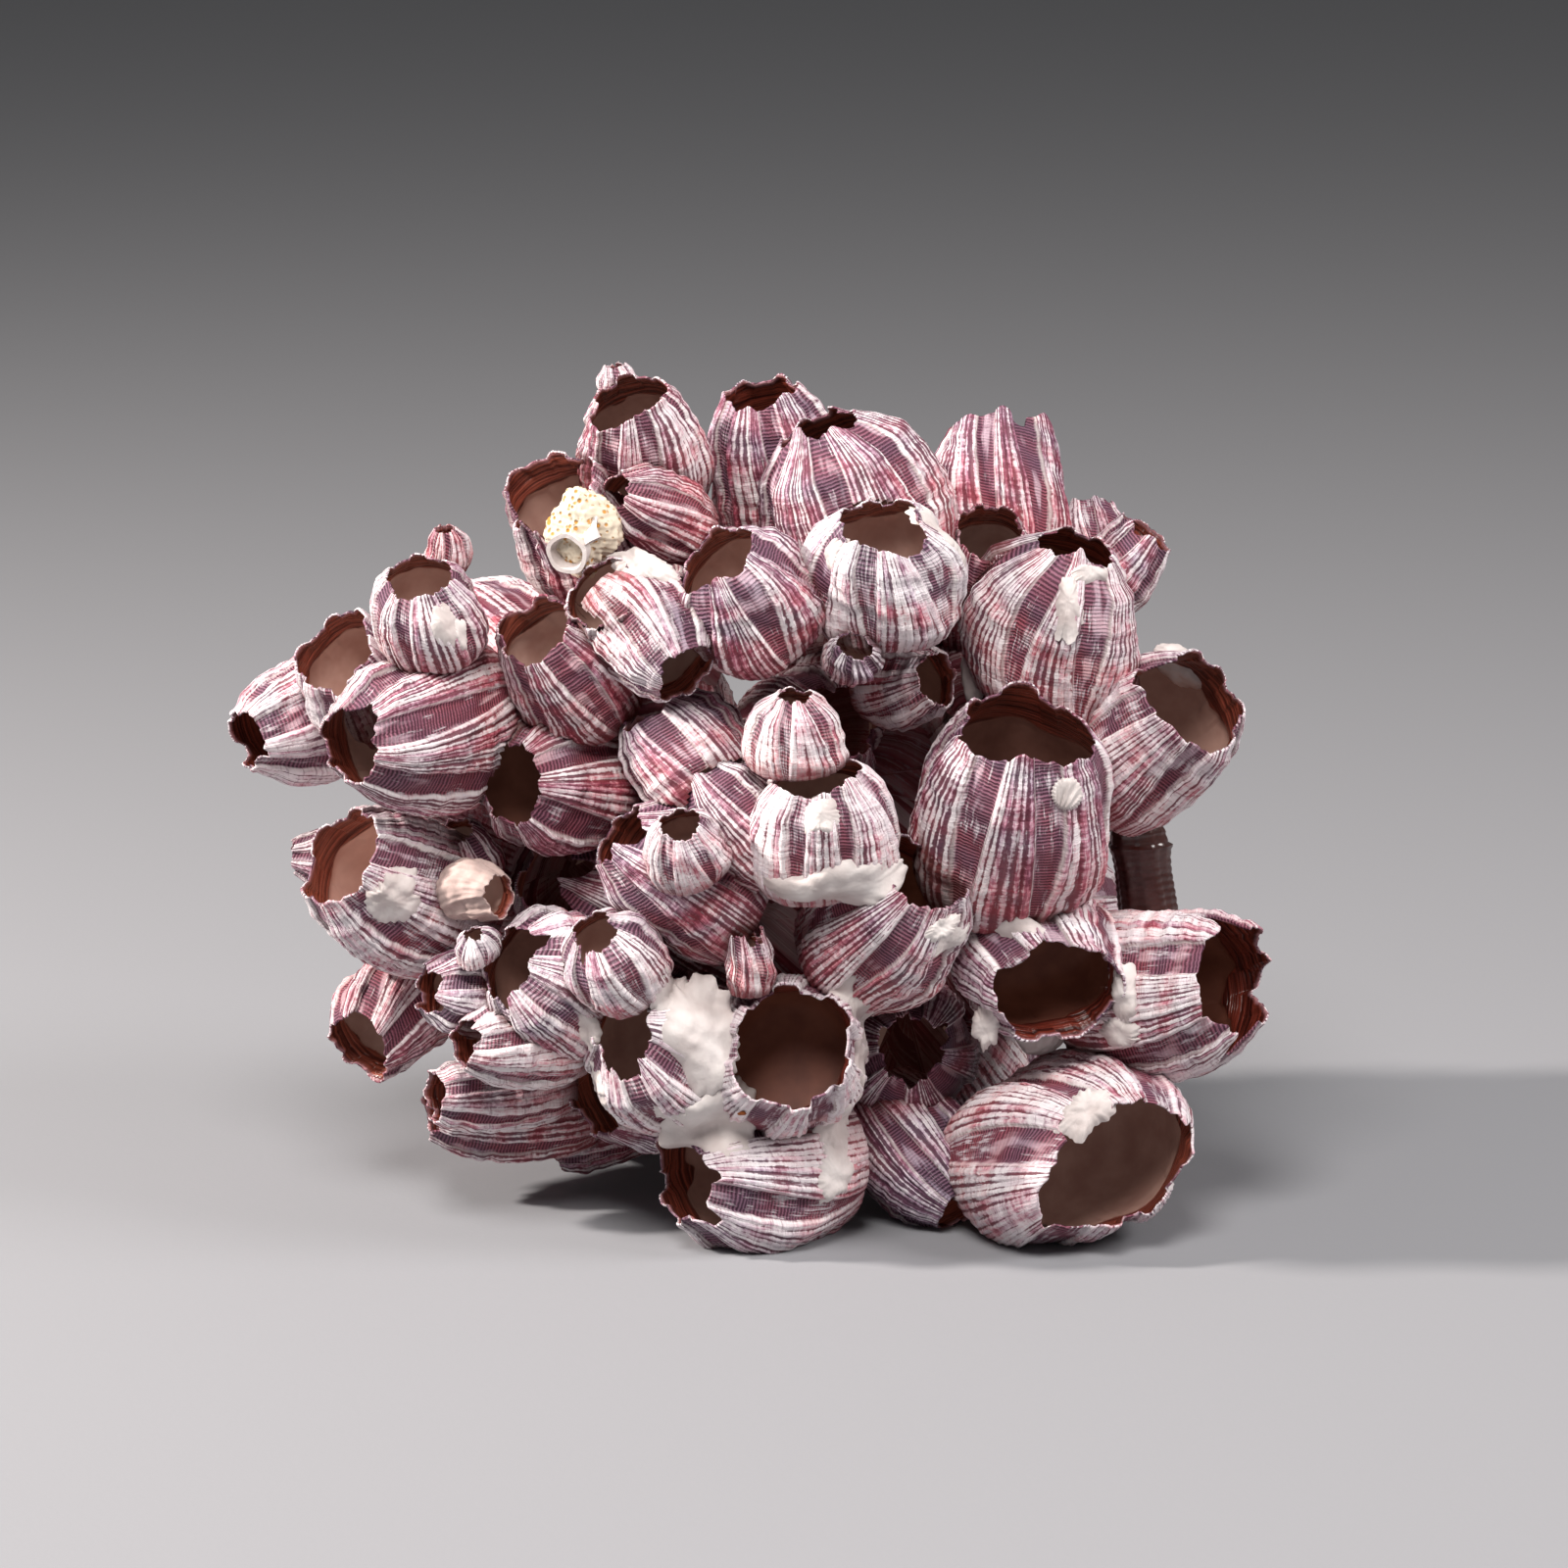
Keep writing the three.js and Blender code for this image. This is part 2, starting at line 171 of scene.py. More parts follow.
# Six plates make the wall. Each is a triangle, the paries, whose ribs fan out from its tip at the rim, and
# the radii that join two of them are the sunken wedges between, widest at the rim.
PLATE_CENTRES = [0, 62, 118, 180, 242, 298]  # degrees round the shell
PLATE_SHARES = [1.15, 1.1, 0.7, 1.2, 0.7, 1.15]  # how wide each is beside the others
PARIES_SHARE_FOOT = 0.97  # of a plate's width, at the foot
PARIES_SHARE_RIM = 0.52
PARIES_EDGE = 0.35  # where a paries ends in the plate coordinate that runs 1 a plate
RIB_HEIGHT = 1.0
RADIUS_DEPTH = 0.8  # how far the radii are sunken
WALL_RIM = 0.28  # half the rim's thickness
FLOOR_HEIGHT = 0.16  # of a shell's height

# The outline from foot to rim: the height as a share of the whole, the width as a share of the greatest.
OUTLINE = [(0.0, 0.82), (0.15, 0.945), (0.34, 1.0), (0.58, 0.965), (0.80, 0.855)]
CONE = [1.0, 1.0, 0.97, 0.87, 0.72]  # the same widths for a shell that is a plain cone
# The wall's thickness in millimetres down the hollow, where 0 is the rim and 1 the hollow's floor.
THICKNESS = [(0.0, 0.55), (0.1, 0.7), (0.26, 1.5), (0.30, 1.5), (0.34, 0.8), (0.6, 1.3), (0.9, 2.6),
             (1.0, 4.0)]


class Chance:
    """Smooth chance: the same for the same shell every time."""

    def __init__(self, name):
        self.rng = np.random.default_rng(sum((i + 1) * ord(c) for i, c in enumerate(name)))

    def near(self, middle, spread):
        return middle + spread * (2 * self.rng.random() - 1)

    def round_waves(self, angle, first, last):
        """A smooth curve round the shell, about -1 to 1."""
        total = np.zeros_like(angle)
        for k in range(first, last + 1):
            total += np.sin(k * angle + self.rng.random() * 2 * math.pi) * (0.5 + self.rng.random())
        return total / math.sqrt(last - first + 1)

    def surface_waves(self, angle, height, count, turns, climb):
        """Smooth hills over the wall, about -1 to 1: up to `turns` round it, `climb` mm apart up it."""
        total = np.zeros(np.broadcast(angle, height).shape)
        for _ in range(count):
            k = self.rng.integers(1, turns + 1)
            phase = 2 * math.pi * (height / climb * (0.5 + self.rng.random()) + self.rng.random())
            total = total + np.sin(k * angle + phase)
        return total / math.sqrt(count)


def smooth(x, low, high):
    t = np.clip((x - low) / (high - low), 0, 1)
    return t * t * (3 - 2 * t)


def outline_curve(row):
    """Half widths from foot to past the rim, at even heights."""
    half, cone = row["wide"] / 2, row["cone"]
    points = [(s, half * (w + cone * (straight - w))) for (s, w), straight in zip(OUTLINE, CONE)]
    rim = row["open"] / 2 + 2 * WALL_RIM
    slope = (rim - points[-1][1]) / (1 - points[-1][0])
    points += [(1.0, rim), (1.25, rim + slope * 0.18)]
    s = np.array([p[0] for p in points])
    w = np.array([p[1] for p in points])
    even = np.linspace(0, 1.25, 126)
    rough = np.interp(even, s, w)
    kernel = np.hanning(17)
    padded = np.concatenate([np.full(8, rough[0]) - (rough[8] - rough[0]) * np.linspace(1, 0.1, 8), rough,
                             np.full(8, rough[-1])])
    return even, np.convolve(padded, kernel / kernel.sum(), mode="valid")


class Shell:
    """One animal's shell, in its own upright millimetres: foot at 0, mouth at the top."""

    def __init__(self, row):
        self.row = row
        self.name = row["name"]
        self.tall, self.wide, self.open = row["tall"], row["wide"], row["open"]
        self.chance = Chance(self.name)
        self.scale = self.wide / 30
        self.even, self.half_widths = outline_curve(row)
        bearing, pitch = math.radians(row["turn"]), math.radians(row["rise"])
        level = math.cos(pitch)
        look = Vector((math.sin(bearing) * level, -math.cos(bearing) * level, math.sin(pitch)))
        upright = look.to_track_quat("Z", "Y").to_matrix().to_4x4()
        self.place = Matrix.Translation(Vector(row["at"]) - look * self.tall) @ upright
        self.middle = np.array(Vector(row["at"]) - look * self.tall / 2)
        self.reach = math.hypot(self.tall / 2, self.wide / 2) + 2
        self.plates()
        self.twist = math.radians(self.given("twist", 0, 22))
        bulge = self.given("bulge", 0.04 * self.wide, 0.04 * self.wide)
        side = math.radians(self.given("side", 0, 180))
        self.lean = np.array([math.cos(side), math.sin(side)]) * bulge
        self.rim_heights()

    def given(self, key, middle, spread):
        """The row's own value, or one by chance where the row leaves it open."""
        return self.chance.near(middle, spread) if self.row[key] is None else self.row[key]

    def plates(self):
        c = self.chance
        centres = np.radians(np.array(PLATE_CENTRES, float) + self.row["spin"])
        centres += np.radians([c.near(0, 5) for _ in centres])
        self.centres = centres
        shares = np.array(PLATE_SHARES) * [c.near(1, 0.12) for _ in PLATE_SHARES]
        gaps = (np.roll(centres, -1) - centres) % (2 * math.pi)
        # A plate's half width on each side is its part of the gap to its neighbour.
        self.half_after = gaps * shares / (shares + np.roll(shares, -1))
        self.half_before = np.roll(gaps - self.half_after, 1)
        self.narrowing = np.array([c.near(PARIES_SHARE_RIM, 0.14) for _ in centres])
        width = (self.half_after + self.half_before) * self.wide / 2
        self.rib_counts = np.clip(np.round(width / self.row["ribs"]), 3, 14)
        self.skew = np.array([c.near(0, 0.18) for _ in range(6)])
        self.rib_strengths = c.rng.random(97)

    def plate_coordinate(self, angle, height_share):
        """Which plate, and where across it: whole numbers are the middles of parietes."""
        turned = (angle[..., None] - self.centres) % (2 * math.pi)
        plate = np.argmin(turned, axis=-1)
        offset = np.take_along_axis(turned, plate[..., None], axis=-1)[..., 0]
        following = (plate + 1) % 6
        rise = np.clip(height_share, 0, 1.2) ** 0.8
        first = self.half_after[plate] * (
            PARIES_SHARE_FOOT + (self.narrowing[plate] - PARIES_SHARE_FOOT) * rise)
        gap = self.half_after[plate] + self.half_before[following]
        last = gap - self.half_before[following] * (
            PARIES_SHARE_FOOT + (self.narrowing[following] - PARIES_SHARE_FOOT) * rise)
        across = np.where(
            offset < first, offset / first * PARIES_EDGE,
            np.where(offset < last,
                     PARIES_EDGE + (offset - first) / np.maximum(last - first, 1e-6) * (1 - 2 * PARIES_EDGE),
                     1 - (gap - offset) / np.maximum(gap - last, 1e-6) * PARIES_EDGE))
        return plate + across

    def rim_heights(self):
        """How much higher or lower than the mouth's plane the rim stands, round the shell."""
        c = self.chance
        angle = np.linspace(0, 2 * math.pi, 721)
        u = self.plate_coordinate(angle, np.ones_like(angle))
        self.rim_tips = 1 - 2 * np.abs((u + 0.5) % 1 - 0.5)
        lift = self.scale * (1.1 * smooth(self.rim_tips, 0.1, 0.9) - 0.6)
        lift += self.scale * (0.40 * c.round_waves(angle, 2, 6) + 0.8 * c.round_waves(angle, 1, 2))
        lift += 0.09 * c.round_waves(angle, 9, 20) + 0.04 * c.round_waves(angle, 30, 50)
        for _ in range(int(1 + 4 * self.row["broken"])):
            middle, half = c.rng.random() * 2 * math.pi, c.near(0.34, 0.16)
            deep = self.scale * self.row["broken"] * c.near(4.0, 2.5)
            away = np.abs((angle - middle + math.pi) % (2 * math.pi) - math.pi)
            edge = half * (1 + 0.2 * c.round_waves(angle, 6, 12))
            lift -= deep * (1 - smooth(away, edge * 0.35, edge))
        viewer = self.place.to_3x3().transposed() @ Vector((0, -0.97, 0.22))
        toward = np.cos(angle + self.twist - math.atan2(viewer.y, viewer.x))
        lift -= self.row["front"] * smooth(toward, -0.4, 1.0)
        lift[-1] = lift[0]
        self.rim_angle, self.rim_lift = angle, lift

    def half_width(self, share):
        return np.interp(share, self.even, self.half_widths)

    def wall(self, down):
        thick = np.interp(down, [p[0] for p in THICKNESS], [p[1] for p in THICKNESS])
        return thick * min(1, 0.35 + 0.65 * self.scale)

    def leaning(self, share):
        return np.sin(np.clip(share, 0, 1) * math.pi)[:, None] * self.lean

    def surface(self, angle, share):
        """Radius of the outer wall at shares of the shell's height, and where its plates and ribs are."""
        c = Chance(self.name + "wall")
        height = share * self.tall
        u = self.plate_coordinate(angle, share)
        plate = np.floor(u + 0.5)
        v = (u - plate) / PARIES_EDGE  # -1 to 1 across a paries
        on_paries = 1 - smooth(np.abs(v), 0.92, 1.06)
        radius = self.half_width(share)
        oval = 1 + 0.04 * np.cos(2 * (angle - c.near(0, 3))) + 0.03 * c.round_waves(angle, 1, 3)
        along = angle + self.twist * share - math.radians(self.row["along"])
        oval = oval + self.row["oval"] * np.cos(2 * along)
        oval = oval + 0.035 * c.surface_waves(angle, height, 5, 4, 30 * self.scale)
        # Ribs fan out from the tip of each paries.
        index = (plate % 6).astype(int)
        spread = v + self.skew[index] * (1 - v * v) + 0.05 * np.sin(5 * v + index)
        phase = self.rib_counts[index] * (spread + 1) / 2
        ridge = np.sqrt(np.abs(np.sin(math.pi * phase)))
        strength = 0.35 + 0.75 * self.rib_strengths[(np.floor(phase).astype(int) + 16 * index) % 97]
        relief = RIB_HEIGHT * ridge * strength * on_paries * (0.5 + 0.5 * smooth(share, 0.0, 0.12))
        relief = relief * (1 - 0.6 * smooth(share, 0.72, 1.0))
        relief = relief * min(1.0, 0.35 + 0.65 * self.scale) * min(1, self.row["ribs"] / 2.2)
        relief = relief + 0.7 * self.scale * on_paries * (1 - v * v) * (0.3 + 0.7 * share)
        relief = relief - RADIUS_DEPTH * min(1, self.scale) * (1 - on_paries) * smooth(share, 0.1, 0.5)
        # The tips of the plates bend in over the mouth.
        tips = np.interp(angle % (2 * math.pi), self.rim_angle, self.rim_tips)
        relief = relief - 0.7 * self.scale * tips * smooth(share, 0.86, 1.06)
        # Growth bands run round the shell.
        band = c.surface_waves(angle, height, 6, 3, 4.2)
        relief = relief + 0.13 * band + 0.09 * c.surface_waves(angle, height, 6, 23, 6)
        tone = c.surface_waves(angle, height, 6, 5, 9)
        return radius * oval + relief, radius * oval, u, phase + 20 * index, tone

    def rim_share(self, angle):
        return 1 + np.interp(angle % (2 * math.pi), self.rim_angle, self.rim_lift) / self.tall

    def inside_of(self, points):
        """For world points: how far out they lie from this shell's axis, and their height share."""
        local = (points - np.array(self.place.translation)) @ np.array(self.place.to_3x3())
        share = local[:, 2] / self.tall
        flat = local[:, :2] - self.leaning(share)
        return np.hypot(flat[:, 0], flat[:, 1]), share


# ---- the meshes ------------------------------------------------------------------------------------

RINGS_OUTSIDE = 40
# How far down the hollow each inner ring lies: close together where the sheath ends.
INNER_RINGS = [0, .03, .07, .12, .17, .22, .26, .285, .31, .34, .38, .44, .52, .6, .68, .76, .84, .91, .96,
               1.0]
AROUND = {"large": 240, "middle": 168, "small": 112}


def tube(around):
    """A closed tube, extruded ring by ring, that every shell of one size starts as: ring k is at height k."""
    bpy.ops.mesh.primitive_circle_add(vertices=around, radius=1, fill_type="NOTHING")
    made = bpy.context.object
    bpy.ops.object.mode_set(mode="EDIT")
    bpy.ops.mesh.select_mode(type="EDGE")
    bpy.ops.mesh.select_all(action="SELECT")
    bpy.ops.mesh.edge_face_add()
    bpy.ops.mesh.poke()
    bpy.ops.mesh.select_all(action="DESELECT")
    bpy.ops.mesh.select_non_manifold()
    for _ in range(RINGS_OUTSIDE + len(INNER_RINGS) + 1):
        bpy.ops.mesh.extrude_region_move(TRANSFORM_OT_translate={"value": (0, 0, 1)})
    bpy.ops.mesh.edge_face_add()
    bpy.ops.mesh.poke()
    bpy.ops.mesh.select_all(action="SELECT")
    bpy.ops.mesh.normals_make_consistent(inside=False)
    bpy.ops.object.mode_set(mode="OBJECT")
    bpy.ops.object.shade_smooth()
    made.select_set(False)
    return made


def coordinates(mesh):
    flat = np.empty(len(mesh.vertices) * 3)
    mesh.vertices.foreach_get("co", flat)
    return flat.reshape(-1, 3)


def put_attributes(mesh, **values):
    for name, value in values.items():
        layer = mesh.attributes.new(name, "FLOAT", "POINT")
        each = np.broadcast_to(np.asarray(value, np.float32), len(mesh.vertices)).copy()
        layer.data.foreach_set("value", each)


def put_maps(mesh, u, phase, height):
    """The shell's own maps: plate coordinate and height, and rib coordinate and height. The faces where a map
    starts again are carried on past its end."""
    corners = np.empty(len(mesh.loops), np.int32)
    mesh.loops.foreach_get("vertex_index", corners)
    starts = np.empty(len(mesh.polygons), np.int32)
    counts = np.empty(len(mesh.polygons), np.int32)
    mesh.polygons.foreach_get("loop_start", starts)
    mesh.polygons.foreach_get("loop_total", counts)
    face = np.repeat(np.arange(len(starts)), counts)
    for name, across, jump in (("plates", u, 6), ("ribs", phase, None)):
        corner = across[corners]
        highest = np.full(len(starts), -1e9)
        np.maximum.at(highest, face, corner)
        if jump:
            corner = np.where(highest[face] - corner > 3, corner + jump, corner)
        else:
            corner = np.where(highest[face] - corner > 5, highest[face], corner)
        layer = mesh.uv_layers.new(name=name)
        layer.data.foreach_set("uv", np.stack([corner, height[corners]], axis=1).astype(np.float32).ravel())


def shape_shell(shell, mesh):
    """Moves the tube's rings out to the shell's wall, over its rim and down its lining."""
    flat = coordinates(mesh)
    angle = np.arctan2(flat[:, 1], flat[:, 0]) % (2 * math.pi)
    ring = np.round(flat[:, 2]).astype(int)
    pole = np.hypot(flat[:, 0], flat[:, 1]) < 0.5
    top = shell.rim_share(angle)
    outside = ring <= RINGS_OUTSIDE
    crest = ring == RINGS_OUTSIDE + 1
    climb = np.clip(ring / RINGS_OUTSIDE, 0, 1)
    climb = climb * 0.55 + 0.45 * (1 - (1 - climb) ** 2)
    down = np.array(INNER_RINGS)[np.clip(ring - RINGS_OUTSIDE - 2, 0, len(INNER_RINGS) - 1)]
    share = np.where(outside | crest, climb * top, top + (FLOOR_HEIGHT - top) * down)
    radius, smooth_radius, u, phase, tone = shell.surface(angle, share)
    thick = shell.wall(down)
    # The lining leaves the ribs of the outside behind within the sheath.
    even = smooth(down, 0.0, 0.15)
    inner = np.maximum(radius * (1 - even) + smooth_radius * even - thick, radius * 0.3)
    inner = np.minimum(inner, radius - np.minimum(thick, 0.5))
    inner = np.where(down > 0.99, inner * 0.9, inner)
    crest_lift = 0.2 * min(1, shell.scale) / shell.tall
    share = np.where(crest, share + crest_lift, share)
    r = np.where(outside, radius, np.where(crest, radius - thick * 0.5, inner))
    r = np.where(pole, 0, r)
    turned = angle + shell.twist * np.clip(share, 0, 1.1)
    lean = shell.leaning(share)
    x, y = r * np.cos(turned) + lean[:, 0], r * np.sin(turned) + lean[:, 1]
    local = np.stack([x, y, share * shell.tall], axis=1)
    place = np.array(shell.place)
    world = local @ place[:3, :3].T + place[:3, 3]
    within = ~(outside | crest)
    below = (top - share) * shell.tall
    put_maps(mesh, u, phase, share * shell.tall)
    row = shell.row
    put_attributes(mesh, depth=np.where(within, below, 0), below_rim=below, up=share,
                   down=np.where(within, down, 0), red=row["red"], pale=row["pale"], hollow=row["hollow"],
                   tone=tone, luck=Chance(shell.name + "luck").rng.random() * 50)
    return world, within, ring


def crowding(shell, world, others):
    """How close each point is to a neighbour's wall: 1 against it or inside it, 0 from 3 mm away."""
    close = np.zeros(len(world))
    for other in others:
        if other is shell or np.linalg.norm(other.middle - shell.middle) > other.reach + shell.reach + 3:
            continue
        out, share = other.inside_of(world)
        gap = out - other.half_width(np.clip(share, 0, 1))
        gap = np.maximum(gap, np.maximum(share - 1, -share) * other.tall)
        close = np.maximum(close, 1 - smooth(gap, -0.5, 3.2))
    return close


def in_hollows(shell, world, earlier):
    """Points that would stand in the hollow of a shell that keeps its room."""
    lost = np.zeros(len(world), bool)
    for other in earlier:
        if np.linalg.norm(other.middle - shell.middle) > other.reach + shell.reach:
            continue
        out, share = other.inside_of(world)
        down = np.clip((1 - share) / (1 - FLOOR_HEIGHT), 0, 1)
        limit = other.half_width(np.clip(share, 0, 1.1)) - 0.5 * other.wall(down)
        lost |= (out < limit) & (share > FLOOR_HEIGHT * 0.7) & (share < 1.0)
    return lost


def remove_points(made, lost):
    bpy.ops.object.select_all(action="DESELECT")
    bpy.context.view_layer.objects.active = made
    made.select_set(True)
    bpy.ops.object.mode_set(mode="EDIT")
    bpy.ops.mesh.select_mode(type="VERT")
    bpy.ops.mesh.select_all(action="DESELECT")
    bpy.ops.object.mode_set(mode="OBJECT")
    made.data.vertices.foreach_set("select", lost)
    bpy.ops.object.mode_set(mode="EDIT")
    bpy.ops.mesh.delete(type="VERT")
    bpy.ops.object.mode_set(mode="OBJECT")
    made.select_set(False)


# Shells whose ribs and dye have worn away.
WORN_BARE = {"stump_on_left_low"}


def build_shells(outside, lining, bare):
    templates = {size: tube(around) for size, around in AROUND.items()}
    shells = [Shell(row) for row in ANIMALS + YOUNG]
    nodes = {row["name"] for row in ANIMALS}
    for i, shell in enumerate(shells):
        size = "large" if shell.wide >= 27 else "middle" if shell.wide >= 18 else "small"
        mesh = templates[size].data.copy()
        made = bpy.data.objects.new("shell_" + shell.name, mesh)
        bpy.context.scene.collection.objects.link(made)
        world, within, ring = shape_shell(shell, mesh)
        put_attributes(mesh, crowd=np.where(within, 0, crowding(shell, world, shells)))
        mesh.materials.append(bare if shell.name in WORN_BARE else outside)
        mesh.materials.append(lining)
        starts = np.empty(len(mesh.polygons), np.int32)
        mesh.polygons.foreach_get("loop_start", starts)
        corners = np.empty(len(mesh.loops), np.int32)
        mesh.loops.foreach_get("vertex_index", corners)
        low_ring = np.minimum(ring[corners[starts]], ring[corners[starts + 1]])
        high_ring = np.maximum(ring[corners[starts]], ring[corners[starts + 1]])
        hollow = (low_ring >= RINGS_OUTSIDE + 2) & (high_ring > RINGS_OUTSIDE + 2)
        mesh.polygons.foreach_set("material_index", hollow.astype(np.int32))
        standing = world.copy()
        standing[:, 2] = np.maximum(standing[:, 2], 0)
        mesh.vertices.foreach_set("co", (standing * MM).astype(np.float32).ravel())
        lost = in_hollows(shell, world, shells[:i])
        if lost.any():
            remove_points(made, lost)
        mesh.update()
        shell.made = made
        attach(made, "root")
        if shell.name in nodes:
            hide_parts(shell.name)
    for made in templates.values():
        bpy.data.objects.remove(made)
    return shells


# ---- materials -------------------------------------------------------------------------------------

def linear(hex_colour):
    """sRGB hex to Blender's linear colour."""
    parts = [int(hex_colour[i:i + 2], 16) / 255 for i in (1, 3, 5)]
    return [p / 12.92 if p <= 0.04045 else ((p + 0.055) / 1.055) ** 2.4 for p in parts] + [1.0]


def add(tree, kind, inputs=(), out=0, **settings):
    """Adds a node, fills or links its inputs, given in order or by number or name, and returns one output."""
    made = tree.nodes.new("ShaderNode" + kind)
    for key, value in settings.items():
        setattr(made, key, value)
    for key, value in (inputs.items() if isinstance(inputs, dict) else enumerate(inputs)):
        if isinstance(value, bpy.types.NodeSocket):
            tree.links.new(value, made.inputs[key])
        else:
            made.inputs[key].default_value = linear(value) if isinstance(value, str) else value
    return made.outputs[out] if made.outputs else made


def new_material(name):
    material = bpy.data.materials.new(name)
    material.use_nodes = True
    material.node_tree.nodes.clear()
    return material, partial(add, material.node_tree)


def finish_material(put, colour, bump_height, bump_depth, roughness, specular=0.4, coat=0.0, painted_glow=0.0):
    bump = put("Bump", {"Strength": 0.6, "Distance": bump_depth, "Height": bump_height})
    # Emission in the shader's own colour is a painted glow, where a material asks for one.
    surface = put("BsdfPrincipled", {
        "Base Color": colour, "Normal": bump, "Roughness": roughness, "Specular IOR Level": specular,
        "Coat Weight": coat, "Coat Roughness": 0.15, "Emission Color": colour, "Emission Strength": painted_glow})
    put("OutputMaterial", [surface])


def shell_outside():
    """Grown calcite, laid down in ribs: chalky white crests, wine and violet dye in the grooves and radii."""
    material, put = new_material("grown_barnacle_shell")
    plates = put("SeparateXYZ", [put("UVMap", uv_map="plates")]).node
    u, v = plates.outputs[0], plates.outputs[1]
    phase = put("SeparateXYZ", [put("UVMap", uv_map="ribs")])
    luck = put("Attribute", out=2, attribute_name="luck")
    up = put("Attribute", out=2, attribute_name="up")
    crowd = put("Attribute", out=2, attribute_name="crowd")
    tone = put("Attribute", out=2, attribute_name="tone")
    red = put("Attribute", out=2, attribute_name="red")
    pale = put("Attribute", out=2, attribute_name="pale")

    # Streaks run from foot to rim: broad ones 3 mm across, fine ones 0.5 mm across, and short dashes. Growth
    # lines run round the whole shell. They are finer than this on the real one.
    streaks = []
    for across, along, detail, roughness in ((7.0, 0.08, 2.0, 0.5), (30.0, 0.16, 3.0, 0.65),
                                             (9.0, 1.25, 2.0, 0.6), (2.2, 1.6, 4.0, 0.7)):
        round_shell = put("Math", [u, across], operation="MULTIPLY")
        up_shell = put("Math", [v, along], operation="MULTIPLY")
        spot = put("CombineXYZ", [round_shell, up_shell, luck])
        streaks.append(put("TexNoise", {
            "Vector": spot, "Scale": 1.0, "Detail": detail, "Roughness": roughness}))
    broad, fine, dashes, growth = streaks
    worn = put("TexNoise", {"Vector": put("TexCoord", out=3), "Scale": 150.0, "Detail": 4.0, "Roughness": 0.65})
    broad_off = put("Math", [broad, 0.5], operation="SUBTRACT")
    fine_off = put("Math", [fine, 0.5], operation="SUBTRACT")
    dash_off = put("Math", [dashes, 0.5], operation="SUBTRACT")
    worn_off = put("Math", [worn, 0.5], operation="SUBTRACT")

    # Low down the shell is pinker and redder, towards the mouth more violet.
    low = put("Math", [broad_off, 0.9, up], operation="MULTIPLY_ADD")
    low = put("MapRange", [low, 0.85, 0.15], interpolation_type="SMOOTHSTEP")
    red_row = put("Math", [red, 0.10], operation="SUBTRACT")
    red_row = put("Math", [red_row, 0.9], operation="MULTIPLY")
    red_shift = put("Math", [tone, 0.18, red_row], operation="MULTIPLY_ADD")
    red_shift = put("Math", [low, 0.65, red_shift], operation="MULTIPLY_ADD")

    # Whole numbers of the rib coordinate are the grooves. Each groove and each rib has its own luck.
    wavy = put("Math", [fine_off, 0.5, phase], operation="MULTIPLY_ADD")
    to_groove = put("Math", [wavy, 0.5], operation="ADD")
    to_groove = put("Math", [to_groove], operation="FRACT")
    to_groove = put("Math", [to_groove, 0.5], operation="SUBTRACT")
    to_groove = put("Math", [to_groove], operation="ABSOLUTE")
    which_groove = put("Math", [phase, 0.5], operation="ADD")
    which_groove = put("Math", [which_groove], operation="FLOOR")
    which_groove = put("Math", [which_groove, luck], operation="ADD")
    groove_luck = put("TexWhiteNoise", {"W": which_groove}, noise_dimensions="1D")
    which_rib = put("Math", [wavy], operation="FLOOR")
    rib_start = put("Math", [luck, 0.5], operation="ADD")
    which_rib = put("Math", [which_rib, rib_start], operation="ADD")
    rib_luck = put("TexWhiteNoise", {"W": which_rib}, noise_dimensions="1D")
    plain = put("Math", [pale, 0.3], operation="SUBTRACT")
    plain = put("Math", [plain, 0.3], operation="MULTIPLY")

    # Grooves are dyed, wider in some than in others, and paler shells have narrower ones.
    narrower = put("Math", [0.46, broad], operation="SUBTRACT")
    narrower = put("Math", [narrower, 0.9, plain], operation="MULTIPLY_ADD")
    groove_width = put("Math", [groove_luck, 0.22], operation="MULTIPLY")
    groove_width = put("Math", [groove_width, narrower], operation="SUBTRACT")
    groove_width = put("Math", [dash_off, 0.5, groove_width], operation="MULTIPLY_ADD")
    groove = put("Math", [groove_width, to_groove], operation="SUBTRACT")
    groove = put("MapRange", [groove, -0.12, 0.04], interpolation_type="SMOOTHSTEP")

    # Ribs run from chalky white to deep dye, each by its luck, broken up by the fine streaks and dashes.
    fine_tone = put("Math", [fine, 0.45], operation="SUBTRACT")
    fine_tone = put("Math", [fine_tone, 1.25], operation="MULTIPLY")
    fine_tone = put("Math", [tone, 0.08, fine_tone], operation="MULTIPLY_ADD")
    rib_tone = put("Math", [rib_luck, 1.6], operation="POWER")
    rib_tone = put("Math", [rib_tone, 0.46], operation="MULTIPLY")
    rib_tone = put("Math", [rib_tone, plain], operation="SUBTRACT")
    rib_tone = put("Math", [rib_tone, fine_tone], operation="ADD")
    rib_tone = put("Math", [dash_off, 0.7, rib_tone], operation="MULTIPLY_ADD")
    ramps = []
    for stops in (["#e9e2e5", "#ddd2d9", "#c7b5c4", "#a07f97", "#724962", "#4a273c"],
                  ["#eadedf", "#e4c9cb", "#dba4aa", "#c06b77", "#95394a", "#651f2b"]):
        ramp = put("ValToRGB", [rib_tone])
        elements = ramp.node.color_ramp.elements
        elements[0].color, elements[1].color = linear(stops[0]), linear(stops[-1])
        elements[1].position = 0.85
        for position, colour in zip((0.18, 0.32, 0.46, 0.62), stops[1:-1]):
            elements.new(position).color = linear(colour)
        ramps.append(ramp)
    rib = put("Mix", {0: red_shift, 6: ramps[0], 7: ramps[1]}, out=2, data_type="RGBA")
    dye = put("Mix", {0: red_shift, 6: "#4d2a40", 7: "#7a2631"}, out=2, data_type="RGBA")
    dyed = put("Math", [groove, 0.94], operation="MULTIPLY")
